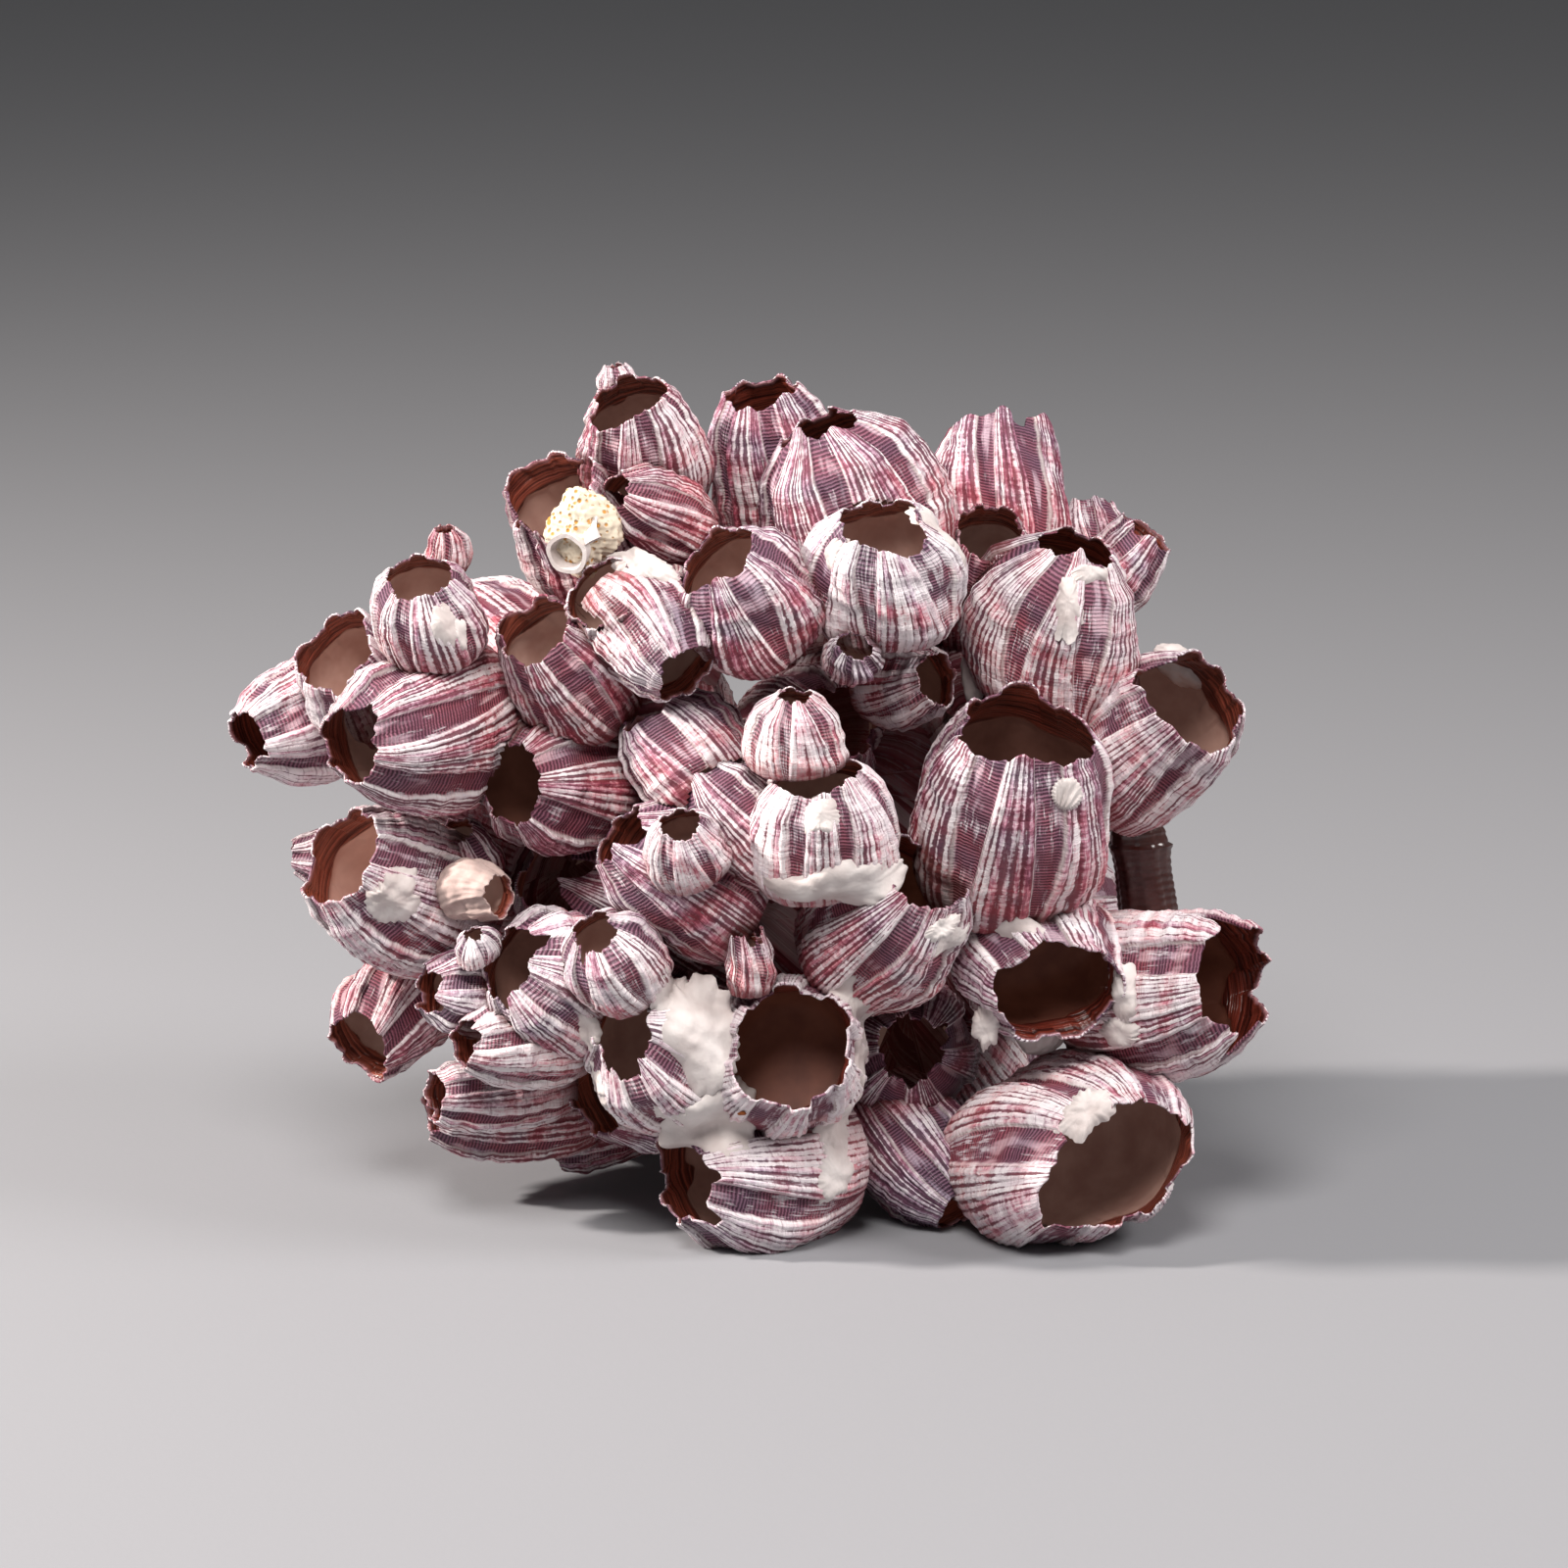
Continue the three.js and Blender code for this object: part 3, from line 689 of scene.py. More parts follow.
    paries = put("Mix", {0: dyed, 6: rib, 7: dye}, out=2, data_type="RGBA")

    # Radii: dark violet or wine, crossed by fine lines 0.6 mm apart. The real ones are 0.4 mm apart, too
    # fine to show.
    slant = put("Math", [fine, 0.4], operation="MULTIPLY")
    slant = put("Math", [u, 1.7, slant], operation="MULTIPLY_ADD")
    slant = put("Math", [v, slant], operation="ADD")
    lines = put("Math", [slant, 2 * math.pi / 0.62], operation="MULTIPLY")
    lines = put("Math", [lines], operation="SINE")
    lines = put("MapRange", [lines, -0.7, 0.7], interpolation_type="SMOOTHSTEP")
    line_dark = put("Mix", {0: red_shift, 6: "#3c2034", 7: "#561a28"}, out=2, data_type="RGBA")
    line_light = put("Mix", {0: red_shift, 6: "#8e6a80", 7: "#b05c6a"}, out=2, data_type="RGBA")
    lit = put("Math", [lines, 0.65], operation="MULTIPLY")
    radii = put("Mix", {0: lit, 6: line_dark, 7: line_light}, out=2, data_type="RGBA")
    patches = put("Math", [tone, 0.08, broad], operation="MULTIPLY_ADD")
    patches = put("MapRange", [patches, 0.55, 0.70], interpolation_type="SMOOTHSTEP")
    patches = put("Math", [patches, 0.7], operation="MULTIPLY")
    patch_colour = put("Mix", {0: red_shift, 6: "#bcaec0", 7: "#dcb0b3"}, out=2, data_type="RGBA")
    radii = put("Mix", {0: patches, 6: radii, 7: patch_colour}, out=2, data_type="RGBA")

    # A pale suture runs where a paries meets its radius.
    away = put("Math", [u, 0.5], operation="ADD")
    away = put("Math", [away], operation="FRACT")
    away = put("Math", [away, 0.5], operation="SUBTRACT")
    away = put("Math", [away], operation="ABSOLUTE")
    away = put("Math", [fine_off, 0.03, away], operation="MULTIPLY_ADD")
    past_paries = put("MapRange", [away, 0.340, 0.362], interpolation_type="SMOOTHSTEP")
    colour = put("Mix", {0: past_paries, 6: paries, 7: radii}, out=2, data_type="RGBA")
    suture = put("Math", [away, 0.338], operation="SUBTRACT")
    suture = put("Math", [suture], operation="ABSOLUTE")
    suture = put("MapRange", [suture, 0.0, 0.02], interpolation_type="SMOOTHSTEP")
    suture = put("Math", [1.0, suture], operation="SUBTRACT")
    suture = put("Math", [suture, 0.45], operation="MULTIPLY")
    colour = put("Mix", {0: suture, 6: colour, 7: "#f2ebe8"}, out=2, data_type="RGBA")

    # Bleached and worn places.
    bleach = put("Math", [worn, fine], operation="ADD")
    bleach = put("Math", [bleach, 0.5], operation="MULTIPLY")
    bleach = put("Math", [pale, 0.16, bleach], operation="MULTIPLY_ADD")
    bleach = put("MapRange", [bleach, 0.59, 0.68], interpolation_type="SMOOTHSTEP")
    bleach = put("Math", [bleach, 0.75], operation="MULTIPLY")
    colour = put("Mix", {0: bleach, 6: colour, 7: "#ded5da"}, out=2, data_type="RGBA")
    grown = put("MapRange", [growth, 0.54, 0.66], interpolation_type="SMOOTHSTEP")
    grown = put("Math", [grown, 0.45], operation="MULTIPLY")
    growth_colour = put("Mix", {0: red_shift, 6: "#5e3d58", 7: "#8c3844"}, out=2, data_type="RGBA")
    colour = put("Mix", {0: grown, 6: colour, 7: growth_colour}, out=2, data_type="RGBA")
    # The foot is dark red in streaks.
    foot = put("Math", [fine_off, 0.6, up], operation="MULTIPLY_ADD")
    foot = put("MapRange", [foot, 0.24, 0.06], interpolation_type="SMOOTHSTEP")
    foot = put("Math", [foot, red], operation="MULTIPLY")
    colour = put("Mix", {0: foot, 6: colour, 7: "#7c2c30"}, out=2, data_type="RGBA")
    # Painted shade and grime where shells crowd together: the wall darkens towards dark brown near a
    # neighbour's wall.
    grime_and_shade = put("Math", [worn_off, 0.8, crowd], operation="MULTIPLY_ADD")
    grime_and_shade = put("MapRange", [grime_and_shade, 0.5, 1.15], interpolation_type="SMOOTHSTEP")
    grime_and_shade = put("Math", [grime_and_shade, 0.75], operation="MULTIPLY")
    colour = put("Mix", {0: grime_and_shade, 6: colour, 7: "#54261f"}, out=2, data_type="RGBA")

    on_radii = put("MapRange", [away, 0.335, 0.37], interpolation_type="SMOOTHSTEP")
    on_radii = put("Math", [on_radii, 0.5], operation="MULTIPLY")
    lines_height = put("Math", [lines, on_radii], operation="MULTIPLY")
    height = put("Math", [growth, 0.9, lines_height], operation="MULTIPLY_ADD")
    height = put("Math", [fine, 0.8, height], operation="MULTIPLY_ADD")
    finish_material(put, colour, height, 0.0009, 0.55)
    return material


def shell_lining():
    """The smooth brown lining: a dark glossy sheath near the rim, dull and paler below it."""
    material, put = new_material("barnacle_lining")
    plates = put("SeparateXYZ", [put("UVMap", uv_map="plates")]).node
    u, v = plates.outputs[0], plates.outputs[1]
    luck = put("Attribute", out=2, attribute_name="luck")
    down = put("Attribute", out=2, attribute_name="down")
    depth = put("Attribute", out=2, attribute_name="depth")
    hollow = put("Attribute", out=2, attribute_name="hollow")
    cloud = put("TexNoise", {"Vector": put("TexCoord", out=3), "Scale": 130.0, "Detail": 3.0, "Roughness": 0.6})
    round_shell = put("Math", [u, 0.8], operation="MULTIPLY")
    up_shell = put("Math", [v, 1.7], operation="MULTIPLY")
    ring_place = put("CombineXYZ", [round_shell, up_shell, luck])
    rings = put("TexNoise", {"Vector": ring_place, "Scale": 1.0, "Detail": 3.0})

    # Both the sheath and the cavity below it run between a dark and a light brown; painted light makes some
    # hollows paler.
    ringed = put("MapRange", [rings, 0.35, 0.68], interpolation_type="SMOOTHSTEP")
    sheath_dark = put("Mix", {0: hollow, 6: "#2a0c09", 7: "#48170f"}, out=2, data_type="RGBA")
    sheath_light = put("Mix", {0: hollow, 6: "#682a1f", 7: "#96503e"}, out=2, data_type="RGBA")
    sheath = put("Mix", {0: ringed, 6: sheath_dark, 7: sheath_light}, out=2, data_type="RGBA")
    clouded = put("MapRange", [cloud, 0.2, 0.8], interpolation_type="SMOOTHSTEP")
    cavity_dark = put("Mix", {0: hollow, 6: "#4c261b", 7: "#b38c80"}, out=2, data_type="RGBA")
    cavity_light = put("Mix", {0: hollow, 6: "#683b2c", 7: "#cfb0a3"}, out=2, data_type="RGBA")
    cavity = put("Mix", {0: clouded, 6: cavity_dark, 7: cavity_light}, out=2, data_type="RGBA")
    below_sheath = put("MapRange", [down, 0.295, 0.312], interpolation_type="SMOOTHSTEP")
    colour = put("Mix", {0: below_sheath, 6: sheath, 7: cavity}, out=2, data_type="RGBA")
    at_rim = put("MapRange", [depth, 1.2, 0.0], interpolation_type="SMOOTHSTEP")
    at_rim = put("Math", [at_rim, 0.6], operation="MULTIPLY")
    colour = put("Mix", {0: at_rim, 6: colour, 7: "#a87a80"}, out=2, data_type="RGBA")
    dull = put("Math", [below_sheath, 0.4, 0.28], operation="MULTIPLY_ADD")
    on_sheath = put("MapRange", [down, 0.34, 0.28], interpolation_type="SMOOTHSTEP")
    height = put("Math", [rings, on_sheath], operation="MULTIPLY")
    # Painted glow: the lining gives off a little light of its own, in place of light through the thin wall, so
    # a hollow is never quite black.
    finish_material(put, colour, height, 0.0009, dull, painted_glow=0.11)
    return material


def chalky_lime():
    """Bare lime, where another shell stood or a worm built: dull white, creamy in places, finely pitted."""
    material, put = new_material("chalky_lime")
    place = put("TexCoord", out=3)
    cloud = put("TexNoise", {"Vector": place, "Scale": 120.0, "Detail": 3.0, "Roughness": 0.5})
    grain = put("TexNoise", {"Vector": place, "Scale": 1100.0, "Detail": 2.0})
    ramp = put("ValToRGB", [cloud])
    creamy, white = ramp.node.color_ramp.elements
    creamy.position, white.position = 0.3, 0.72
    creamy.color, white.color = linear("#b7aaa7"), linear("#dcd6d3")
    height = put("Math", [grain, 0.35, cloud], operation="MULTIPLY_ADD")
    finish_material(put, ramp, height, 0.0005, 0.6)
    return material


def porous_lime():
    """Worm-built crust: yellowish white lime full of small round holes with ochre in them."""
    material, put = new_material("porous_worm_lime")
    place = put("TexCoord", out=3)
    cells = put("TexVoronoi", {"Vector": place, "Scale": 800.0})
    cloud = put("TexNoise", {"Vector": place, "Scale": 260.0, "Detail": 3.0})
    hole = put("Math", [cloud, 1.1, cells], operation="MULTIPLY_ADD")
    hole = put("MapRange", [hole, 0.97, 0.66], interpolation_type="SMOOTHSTEP")
    colour = put("Mix", {0: hole, 6: "#d9cdb8", 7: "#c08434"}, out=2, data_type="RGBA")
    height = put("Math", [1.0, hole], operation="SUBTRACT")
    finish_material(put, colour, height, 0.0006, 0.75)
    return material


def plain_material(name, colour, roughness, coat=0.0):
    """A surface of one colour that darkens in small clouds, as worn lime and old lining do."""
    material, put = new_material(name)
    grain = put("TexNoise", {"Vector": put("TexCoord", out=3), "Scale": 500.0, "Detail": 3.0})
    darker = [part * 0.45 for part in linear(colour)[:3]] + [1.0]
    shade = put("Mix", {0: grain, 6: colour, 7: darker}, out=2, data_type="RGBA")
    finish_material(put, shade, grain, 0.0004, roughness, 0.45, coat)
    return material


# ---- lime laid over the shells ---------------------------------------------------------------------

# at, turn and rise: where it lies and where it faces, as for the shells
# wide, high, thick: in millimetres; spin: degrees that its height is tipped over to the left
# edge: how sudden its edge is; rough: millimetres of lumps; fan: ribs that spread from its foot
# allow: millimetres above and below its place that it feels for the shells; rusty: stained by rust
def lime(name, at, turn, rise, wide, high, thick, spin=0, edge=6, rough=0.15, fan=0, allow=5, rusty=False):
    return dict(name=name, at=at, turn=turn, rise=rise, wide=wide, high=high, thick=thick, spin=spin,
                edge=edge, rough=rough, fan=fan, allow=allow, rusty=rusty)


LIME = [
    lime("scar_by_low_left", (-7, -55, 45), 20, 20, 16, 21, 1.3, 15, 8),
    lime("scar_neck", (-13, -53, 53), 10, 40, 10, 8, 1.0, 30, 3, 0.3),
    lime("scar_over_bottom", (-5, -50, 27), 25, 5, 19, 15, 1.2, 20, 9, 0.1),
    lime("base_of_centre_white", (16, -56, 72), 0, -20, 27, 12, 1.2, 8, 8, 0.1, allow=7),
    lime("scar_on_centre_white", (14, -59, 87), 0, 20, 8, 8, 0.6, 0, 4, 0.2),
    lime("scar_on_left_low", (-66, -35, 65), 5, -5, 11, 12, 1.0, -20, 6, 0.3),
    lime("tongue_on_right_low", (64, -53, 31), 10, 40, 13, 8, 1.0, 35, 4, 0.3),
    lime("fan_on_right_big", (59, -50, 88), 0, 15, 8, 8.5, 0.9, -20, 9, 0.0, 9),
    lime("scar_on_cap", (36, -32, 134), 50, 30, 9, 15, 0.8, 20, 6, 0.15),
    lime("worm_bed_on_right_big", (60, -32, 122), 0, 40, 6, 13, 0.9, -5, 3, 0.35),
    lime("worm_bed_turn", (65, -27, 127), 10, 40, 11, 4, 0.9, 15, 3, 0.35),
    lime("lump_by_far_right_low", (71, -37, 47), -25, 5, 5, 13, 1.2, 8, 4, 0.2),
    lime("lump_under_far_right_low", (70, -37, 39), -15, -10, 9, 7, 1.2, 0, 4, 0.2),
    lime("wall_crust_upper", (20, -46, 50), 40, 15, 8, 12, 0.7, 20, 5, 0.25),
    lime("wall_crust_middle", (23, -43, 38), 50, 0, 9, 17, 0.7, -5, 5, 0.25),
    lime("wall_crust_lower", (20, -43, 25), 40, -5, 10, 17, 0.7, -30, 5, 0.25),
    lime("wall_crust_foot", (17, -46, 15), 30, -10, 9, 12, 0.7, -25, 5, 0.25),
    lime("left_crust_upper", (-32, -52, 43), -40, 0, 4, 9, 0.4, 8, 6, 0.3),
    lime("left_crust_lower", (-28, -50, 31), -20, -15, 5, 11, 0.4, 15, 6, 0.5),
    lime("crust_under_scar", (-14, -50, 31), 0, -10, 9, 9, 1.0, 0, 2.5, 0.4),
    lime("ear_over_small", (-20, -38, 132), -15, 45, 14, 7, 0.8, -15, 5, 0.25),
    lime("crust_over_right_mouth", (50, -43, 63), -15, 45, 12, 5, 0.5, -10, 6, 0.2),
    lime("crust_beside_right_mouth", (44, -46, 42), -10, 0, 5, 9, 0.6, 0, 5, 0.2),
    lime("crust_under_centre", (38, -50, 60), 20, -20, 14, 6, 1.0, 15, 2.5, 0.3),
    lime("scale_on_right_mouth", (37, -58, 66), 10, 20, 8, 4, 0.5, 25, 4, 0.3),
    lime("scale_on_left_upper", (-54, -42, 120), 25, 25, 6, 9, 0.5, 10, 6, 0.15),
    lime("scale_over_crack", (-51, -39, 117), 38, 20, 4, 7, 0.5, 15, 6, 0.15),
    lime("scar_of_worm_on_cap", (15, -41, 132), -45, 10, 5, 7, 0.9, 0, 5, 0.2),
    lime("rust_in_scar", (-1, -53.5, 29), 25, 5, 1.3, 1.3, 1.5, 0, 3, 0.0, rusty=True),
    lime("rust_in_scar_low", (-7, -52, 25), 25, 5, 1.2, 1.2, 1.5, 0, 3, 0.0, rusty=True),
]
FIELD_STEPS = 37  # points each way at which a patch feels for the shells below it
SUNK = 0.7  # how deep a patch's edge is let into them
SHARP_FROM = math.radians(50)


def facing(turn, rise, spin=0):
    """Across, upward and outward directions of something that faces turn and rise and is tipped by spin."""
    bearing, pitch = math.radians(turn), math.radians(rise)
    level = math.cos(pitch)
    look = Vector((math.sin(bearing) * level, -math.cos(bearing) * level, math.sin(pitch)))
    across = Vector((math.cos(bearing), math.sin(bearing), 0))
    upward = look.cross(across)
    tip = math.radians(spin)
    tipped_across = across * math.cos(tip) + upward * math.sin(tip)
    tipped_upward = upward * math.cos(tip) - across * math.sin(tip)
    return tipped_across, tipped_upward, look


def height_field(row, shells, across, upward, look):
    """How high the shells stand over the patch's plane, evened out as lime that has filled their grooves."""
    at, allow = Vector(row["at"]), row["allow"]
    span = max(row["wide"], row["high"]) * 0.65
    near = [s for s in shells if (Vector(s.middle) - at).length < s.reach + span]
    field = np.full((FIELD_STEPS, FIELD_STEPS), -allow, float)
    for i, j in np.ndindex(FIELD_STEPS, FIELD_STEPS):
        x, y = (2 * i / (FIELD_STEPS - 1) - 1) * span, (2 * j / (FIELD_STEPS - 1) - 1) * span
        start = at + across * x + upward * y + look * allow
        for shell in near:
            hit, place, _, _ = shell.made.ray_cast(start * MM, -look, distance=2 * allow * MM)
            if hit:
                field[i, j] = max(field[i, j], (place / MM - at).dot(look))
    for _ in range(5):
        padded = np.pad(field, 1, mode="edge")
        field = sum(padded[1 + i:1 + i + FIELD_STEPS, 1 + j:1 + j + FIELD_STEPS]
                    for i in (-1, 0, 1) for j in (-1, 0, 1)) / 9
    return field, span


def lumps(chance, x, y, size):
    """Hills of about one size in millimetres, about -1 to 1."""
    total = np.zeros_like(x)
    for _ in range(9):
        way, pitch = chance.rng.random() * math.pi, 2 * math.pi / size * (0.6 + chance.rng.random())
        total += np.sin((x * math.cos(way) + y * math.sin(way)) * pitch + chance.rng.random() * 7)
    return total / 3


def settle(made, world, material, sharp_edges=False):
    """Moves a small piece's points to their places, given in millimetres, and hands it to the cluster."""
    made.data.vertices.foreach_set("co", (world * MM).astype(np.float32).ravel())
    if sharp_edges:
        bpy.ops.object.shade_smooth_by_angle(angle=SHARP_FROM)
    else:
        bpy.ops.object.shade_smooth()
    made.data.materials.append(material)
    made.select_set(False)
    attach(made, "root")


def lay_lime(row, shells, material):
    """One patch: a flattened ball, drawn out to the patch's outline and let down on the shells."""
    across, upward, look = facing(row["turn"], row["rise"], row["spin"])
    field, span = height_field(row, shells, across, upward, look)
    chance = Chance(row["name"])
    detail = 20 if row["wide"] < 3 else 96
    bpy.ops.mesh.primitive_uv_sphere_add(segments=detail, ring_count=detail // 2, radius=1)
    made = bpy.context.object
    made.name = "lime_" + row["name"]
    ball = coordinates(made.data)
    angle = np.arctan2(ball[:, 1], ball[:, 0])
    out = np.minimum(1, np.hypot(ball[:, 0], ball[:, 1]))
    ragged = 0.03 + 0.03 * min(1, row["rough"] * 2)
    edge = 1 + 0.10 * chance.round_waves(angle, 2, 7) + ragged * chance.round_waves(angle, 9, 26)
    if row["fan"]:
        edge = 0.75 + 0.25 * np.sin(angle) + 0.04 * np.cos(angle * row["fan"] * 3)
    x, y = ball[:, 0] * edge * row["wide"] / 2, ball[:, 1] * edge * row["high"] / 2
    gx = np.clip((x / span + 1) / 2 * (FIELD_STEPS - 1), 0, FIELD_STEPS - 1.001)
    gy = np.clip((y / span + 1) / 2 * (FIELD_STEPS - 1), 0, FIELD_STEPS - 1.001)
    i, j, fx, fy = gx.astype(int), gy.astype(int), gx % 1, gy % 1
    ground = (field[i, j] * (1 - fx) * (1 - fy) + field[i + 1, j] * fx * (1 - fy)
              + field[i, j + 1] * (1 - fx) * fy + field[i + 1, j + 1] * fx * fy)
    lift = -SUNK + (row["thick"] + SUNK) * (1 - out ** row["edge"])
    inside = 1 - out ** 4
    lift += row["rough"] * inside * (0.6 * lumps(chance, x, y, 3.4) + 0.15 * lumps(chance, x, y, 1.3))
    lift += 0.12 * inside * lumps(chance, x, y, 5.0)
    if row["fan"]:
        from_foot = np.arctan2(x, y + row["high"] * 0.55)
        lift += 0.25 * inside * np.cos(from_foot * row["fan"] * 3.2)
    lift = np.where(ball[:, 2] < -0.01, -SUNK - 0.8 * np.abs(ball[:, 2]), lift)
    height = ground + lift
    world = (np.array(row["at"]) + x[:, None] * np.array(across) + y[:, None] * np.array(upward)
             + height[:, None] * np.array(look))
    world[:, 2] = np.maximum(world[:, 2], 0)
    settle(made, world, material)


# at: the middle of the tube's mouth; long: how far it reaches back; bend: degrees that it curls over its length
def worm_tube(name, at, turn, rise, width, long, bend, material):
    """A worm's lime tube: a ring extruded along its curl, with a hollow mouth."""
    across, upward, look = facing(turn, rise)
    around, steps = 32, 14
    bpy.ops.mesh.primitive_circle_add(vertices=around, radius=1, fill_type="NGON")
    made = bpy.context.object
    made.name = "tube_" + name
    bpy.ops.object.mode_set(mode="EDIT")
    bpy.ops.mesh.select_all(action="SELECT")
    for _ in range(steps):
        bpy.ops.mesh.extrude_region_move(TRANSFORM_OT_translate={"value": (0, 0, 1)})
    bpy.ops.mesh.inset(thickness=0.2)
    bpy.ops.mesh.extrude_region_move(TRANSFORM_OT_translate={"value": (0, 0, 100)})
    bpy.ops.mesh.select_all(action="SELECT")
    bpy.ops.mesh.normals_make_consistent(inside=False)
    bpy.ops.object.mode_set(mode="OBJECT")
    raw = coordinates(made.data)
    hollow = raw[:, 2] > 50
    step = np.where(hollow, steps * 0.45, raw[:, 2]) / steps
    out = np.hypot(raw[:, 0], raw[:, 1]) * width / 2 * (0.8 + 0.2 * step) * np.where(hollow, 0.8, 1)
    angle = np.arctan2(raw[:, 1], raw[:, 0])
    out = out * (1 + 0.03 * np.sin(step * 40) + 0.05 * np.sin(2 * angle + step * 3) + 0.03 * np.sin(5 * angle))
    curl = (1 - step) * math.radians(bend)
    radius = long / max(math.radians(abs(bend)), 0.01)
    back = np.where(abs(bend) > 1, np.sin(curl) * radius, (1 - step) * long)
    side = np.where(abs(bend) > 1, (1 - np.cos(curl)) * radius, 0)
    x = out * np.cos(angle) * np.cos(curl) + side
    world = (np.array(at) + x[:, None] * np.array(across) + (out * np.sin(angle))[:, None] * np.array(upward)
             + (-back - out * np.cos(angle) * np.sin(curl))[:, None] * np.array(look))
    settle(made, world, material, sharp_edges=True)


def pebble(name, at, turn, rise, wide, high, thick, spin, material):
    """A smooth body of lime of its own, rounded and a little lumpy."""
    across, upward, look = facing(turn, rise, spin)
    chance = Chance(name)
    bpy.ops.mesh.primitive_ico_sphere_add(subdivisions=5, radius=1)
    made = bpy.context.object
    made.name = "lime_" + name
    ball = coordinates(made.data)
    x, y, z = ball[:, 0] * wide / 2, ball[:, 1] * high / 2, ball[:, 2] * thick / 2
    swell = (1 + 0.07 * lumps(chance, x + z, y, 5.0) + 0.02 * lumps(chance, x - z, y, 1.8))[:, None]
    world = np.array(at) + swell * (x[:, None] * np.array(across) + y[:, None] * np.array(upward)
                                    + z[:, None] * np.array(look))
    settle(made, world, material)


# Height and half width of the dark wall from foot to tip, in millimetres, with the ledge where it once
# grew anew.
DARK_WALL = [(0, 5.6), (3, 5.5), (6, 5.4), (9, 5.3), (12, 5.5), (13.4, 5.9), (14.2, 6.2), (14.7, 5.4),
             (17, 5.2), (19.5, 4.6), (21.3, 3.6), (22.2, 1.8)]
DARK_WALL_AT = (77.5, -4, 54)
DARK_WALL_LEAN = 0.16  # millimetres to the left for each one it stands up
DARK_WALL_FLATNESS = 0.7


def dark_wall(material):
    """What is left of a broken shell: only its glossy brown lining, folded and ringed."""
    bpy.ops.mesh.primitive_circle_add(vertices=72, radius=1, fill_type="NGON")
    made = bpy.context.object
    made.name = "broken_dark_wall"
    bpy.ops.object.mode_set(mode="EDIT")
    bpy.ops.mesh.select_all(action="SELECT")
    rings = 44
    for _ in range(rings):
        bpy.ops.mesh.extrude_region_move(TRANSFORM_OT_translate={"value": (0, 0, 1)})
    bpy.ops.mesh.select_all(action="SELECT")
    bpy.ops.mesh.normals_make_consistent(inside=False)
    bpy.ops.object.mode_set(mode="OBJECT")
    raw = coordinates(made.data)
    angle = np.arctan2(raw[:, 1], raw[:, 0])
    height = raw[:, 2] / rings * DARK_WALL[-1][0]
    half = np.interp(height, [p[0] for p in DARK_WALL], [p[1] for p in DARK_WALL])
    folds = 1 + 0.05 * np.sin(3 * angle + 0.1 * height) + 0.045 * np.sin(5 * angle + 1)
    folds = folds + 0.02 * np.sin(11 * angle)
    folds = folds + 0.02 * np.sin(height * 4.2 + np.sin(2 * angle))
    foot_x, foot_y, foot_z = DARK_WALL_AT
    x = half * folds * np.cos(angle) + foot_x - DARK_WALL_LEAN * height
    y = half * DARK_WALL_FLATNESS * folds * np.sin(angle) + foot_y
    world = np.stack([x, y, height + foot_z], axis=1)
    settle(made, world, material, sharp_edges=True)


def worm_crust(material):
    low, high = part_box("worm_crust")
    middle = (Vector(low) + Vector(high)) / 2
    size = Vector(high) - Vector(low)
    chance = Chance("worm_crust")
    bpy.ops.mesh.primitive_ico_sphere_add(subdivisions=6, radius=0.5, location=(0, 0, 0))
    made = bpy.context.object
    made.name = "crust_worm_tubes"
    ball = coordinates(made.data)
    x, y, z = ball[:, 0] * 13, ball[:, 1] * 10, ball[:, 2] * 15
    swell = 1.0 + 0.12 * lumps(chance, x, z, 11) + 0.045 * lumps(chance, x + y, z, 3.6)
    swell = swell + 0.022 * lumps(chance, x - y, z, 1.5)
    world = ball * swell[:, None] * np.array(size) + np.array(middle)
    settle(made, world / MM, material)
    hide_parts("worm_crust")


def build_lime(shells):
    bpy.context.view_layer.update()
    chalk = chalky_lime()
    rust = plain_material("rusty_lime", "#a5561d", 0.8)
    for row in LIME:
        lay_lime(row, shells, rust if row["rusty"] else chalk)
    worm_crust(porous_lime())
    worm_tube("in_crust", (-33, -33.5, 130.5), -15, -5, 7.5, 9, 0, chalk)
    worm_tube("arch_over_crust", (-28, -33.5, 133), 60, -60, 3.4, 7, 100, chalk)
    pebble("behind_far_right", (83, -8, 104), 0, 0, 13, 7, 8, -26, chalk)
    pebble("by_small_side", (43, -15, 103), 0, 0, 4.6, 11, 4, 5, chalk)
    pebble("between_low_right", (56, -25, 36), 0, 0, 9, 8, 8, 0, chalk)
    dark_wall(plain_material("glossy_brown_lining", "#48201a", 0.28, 0.5))


# ---- the stage -------------------------------------------------------------------------------------

CAMERA_RISE = math.radians(13)
CAMERA_TARGET = Vector((7.2, 9, 77.1)) * MM
CAMERA_DISTANCE = 1.1
CAMERA_LENS = 130
FLOOR_SIZE = 9

PAPER = "#85868a"  # one plain grey, which the lamps turn pale


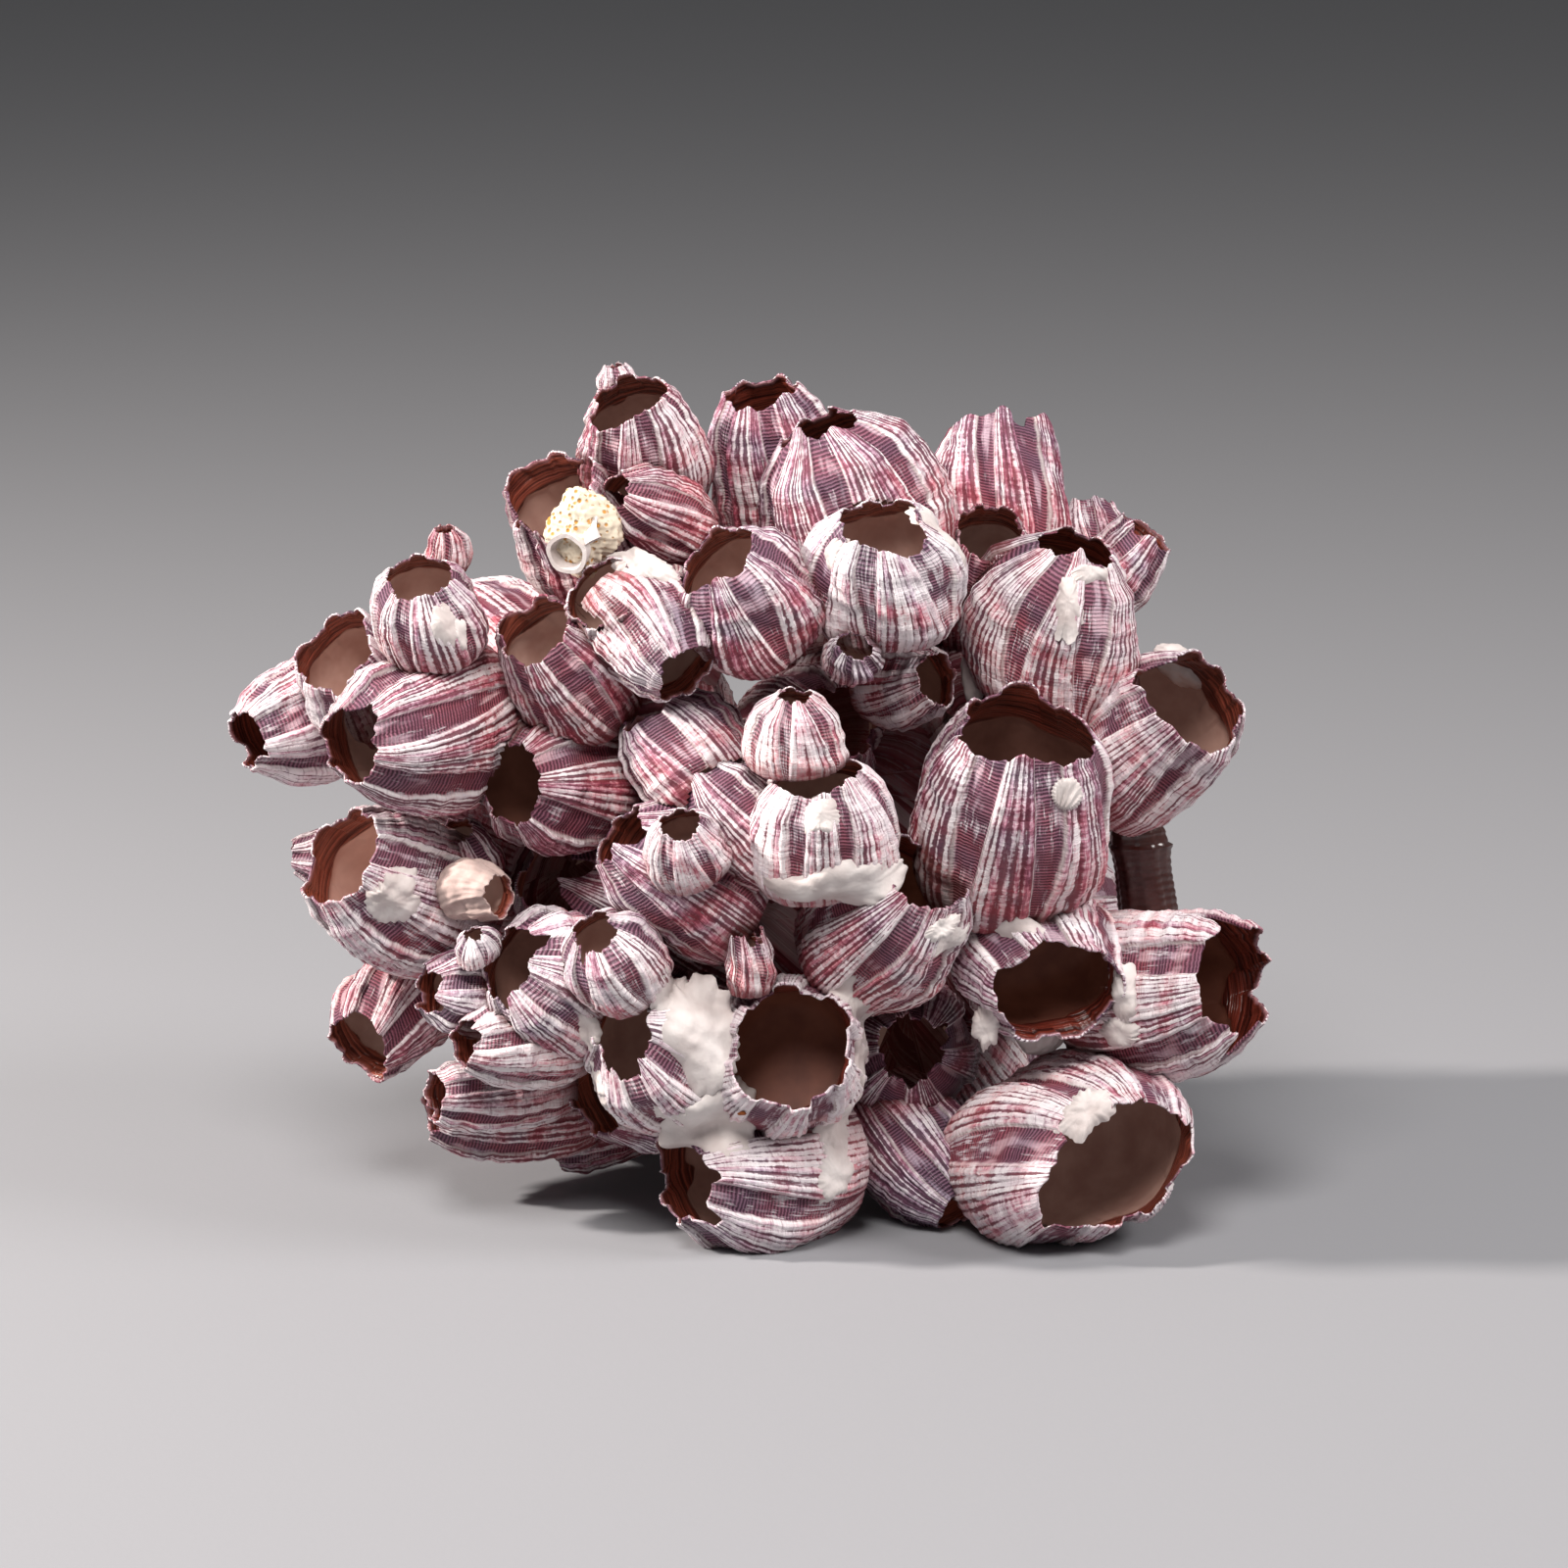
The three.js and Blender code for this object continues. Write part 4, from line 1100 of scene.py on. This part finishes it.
def studio_paper():
    """Matt rolled paper in one plain grey, with only its own faint fibre."""
    material, put = new_material("studio_paper")
    fibre = put("TexNoise", {"Vector": put("TexCoord", out=3), "Scale": 900.0, "Detail": 2.0})
    finish_material(put, linear(PAPER), fibre, 0.00005, 0.8, 0.2)
    return material


def stage():
    bpy.ops.mesh.primitive_plane_add(size=FLOOR_SIZE)
    floor = bpy.context.object
    floor.name = "floor"
    floor.select_set(False)
    floor.data.materials.append(studio_paper())


def lamp(name, place, target, size, watts, colour):
    data = bpy.data.lights.new(name, "AREA")
    data.shape, data.size, data.energy, data.color = "DISK", size, watts, linear(colour)[:3]
    made = bpy.data.objects.new(name, data)
    made.location = place
    made.rotation_mode = "QUATERNION"
    made.rotation_quaternion = (Vector(target) - Vector(place)).to_track_quat("-Z", "Y")
    bpy.context.scene.collection.objects.link(made)


def lights():
    middle = (0, 0, 0.08)
    lamp("key_left", (-0.985, -0.08, 0.71), middle, 0.10, 26, "#fff6ee")
    lamp("soft_top", (-0.15, -0.75, 1.15), middle, 0.6, 20, "#fffaf6")
    lamp("fill_right", (0.95, -0.25, 0.75), middle, 0.5, 10, "#fffaf8")
    world = bpy.data.worlds.new("studio_air")
    world.use_nodes = True
    background = world.node_tree.nodes["Background"]
    background.inputs[0].default_value = linear("#ffffff")
    background.inputs[1].default_value = 0.16
    bpy.context.scene.world = world
    bpy.context.scene.view_settings.view_transform = "Standard"


def camera():
    back = Vector((0, -math.cos(CAMERA_RISE), math.sin(CAMERA_RISE)))
    data = bpy.data.cameras.new("camera")
    data.lens, data.sensor_width = CAMERA_LENS, 36
    made = bpy.data.objects.new("camera", data)
    made.location = CAMERA_TARGET + back * CAMERA_DISTANCE
    made.rotation_mode = "QUATERNION"
    made.rotation_quaternion = (-back).to_track_quat("-Z", "Y")
    bpy.context.scene.collection.objects.link(made)
    bpy.context.scene.camera = made


worn_bare = plain_material("worn_pink_lime", "#cdb4ad", 0.75)
shells = build_shells(shell_outside(), shell_lining(), worn_bare)
build_lime(shells)
stage()
lights()
camera()
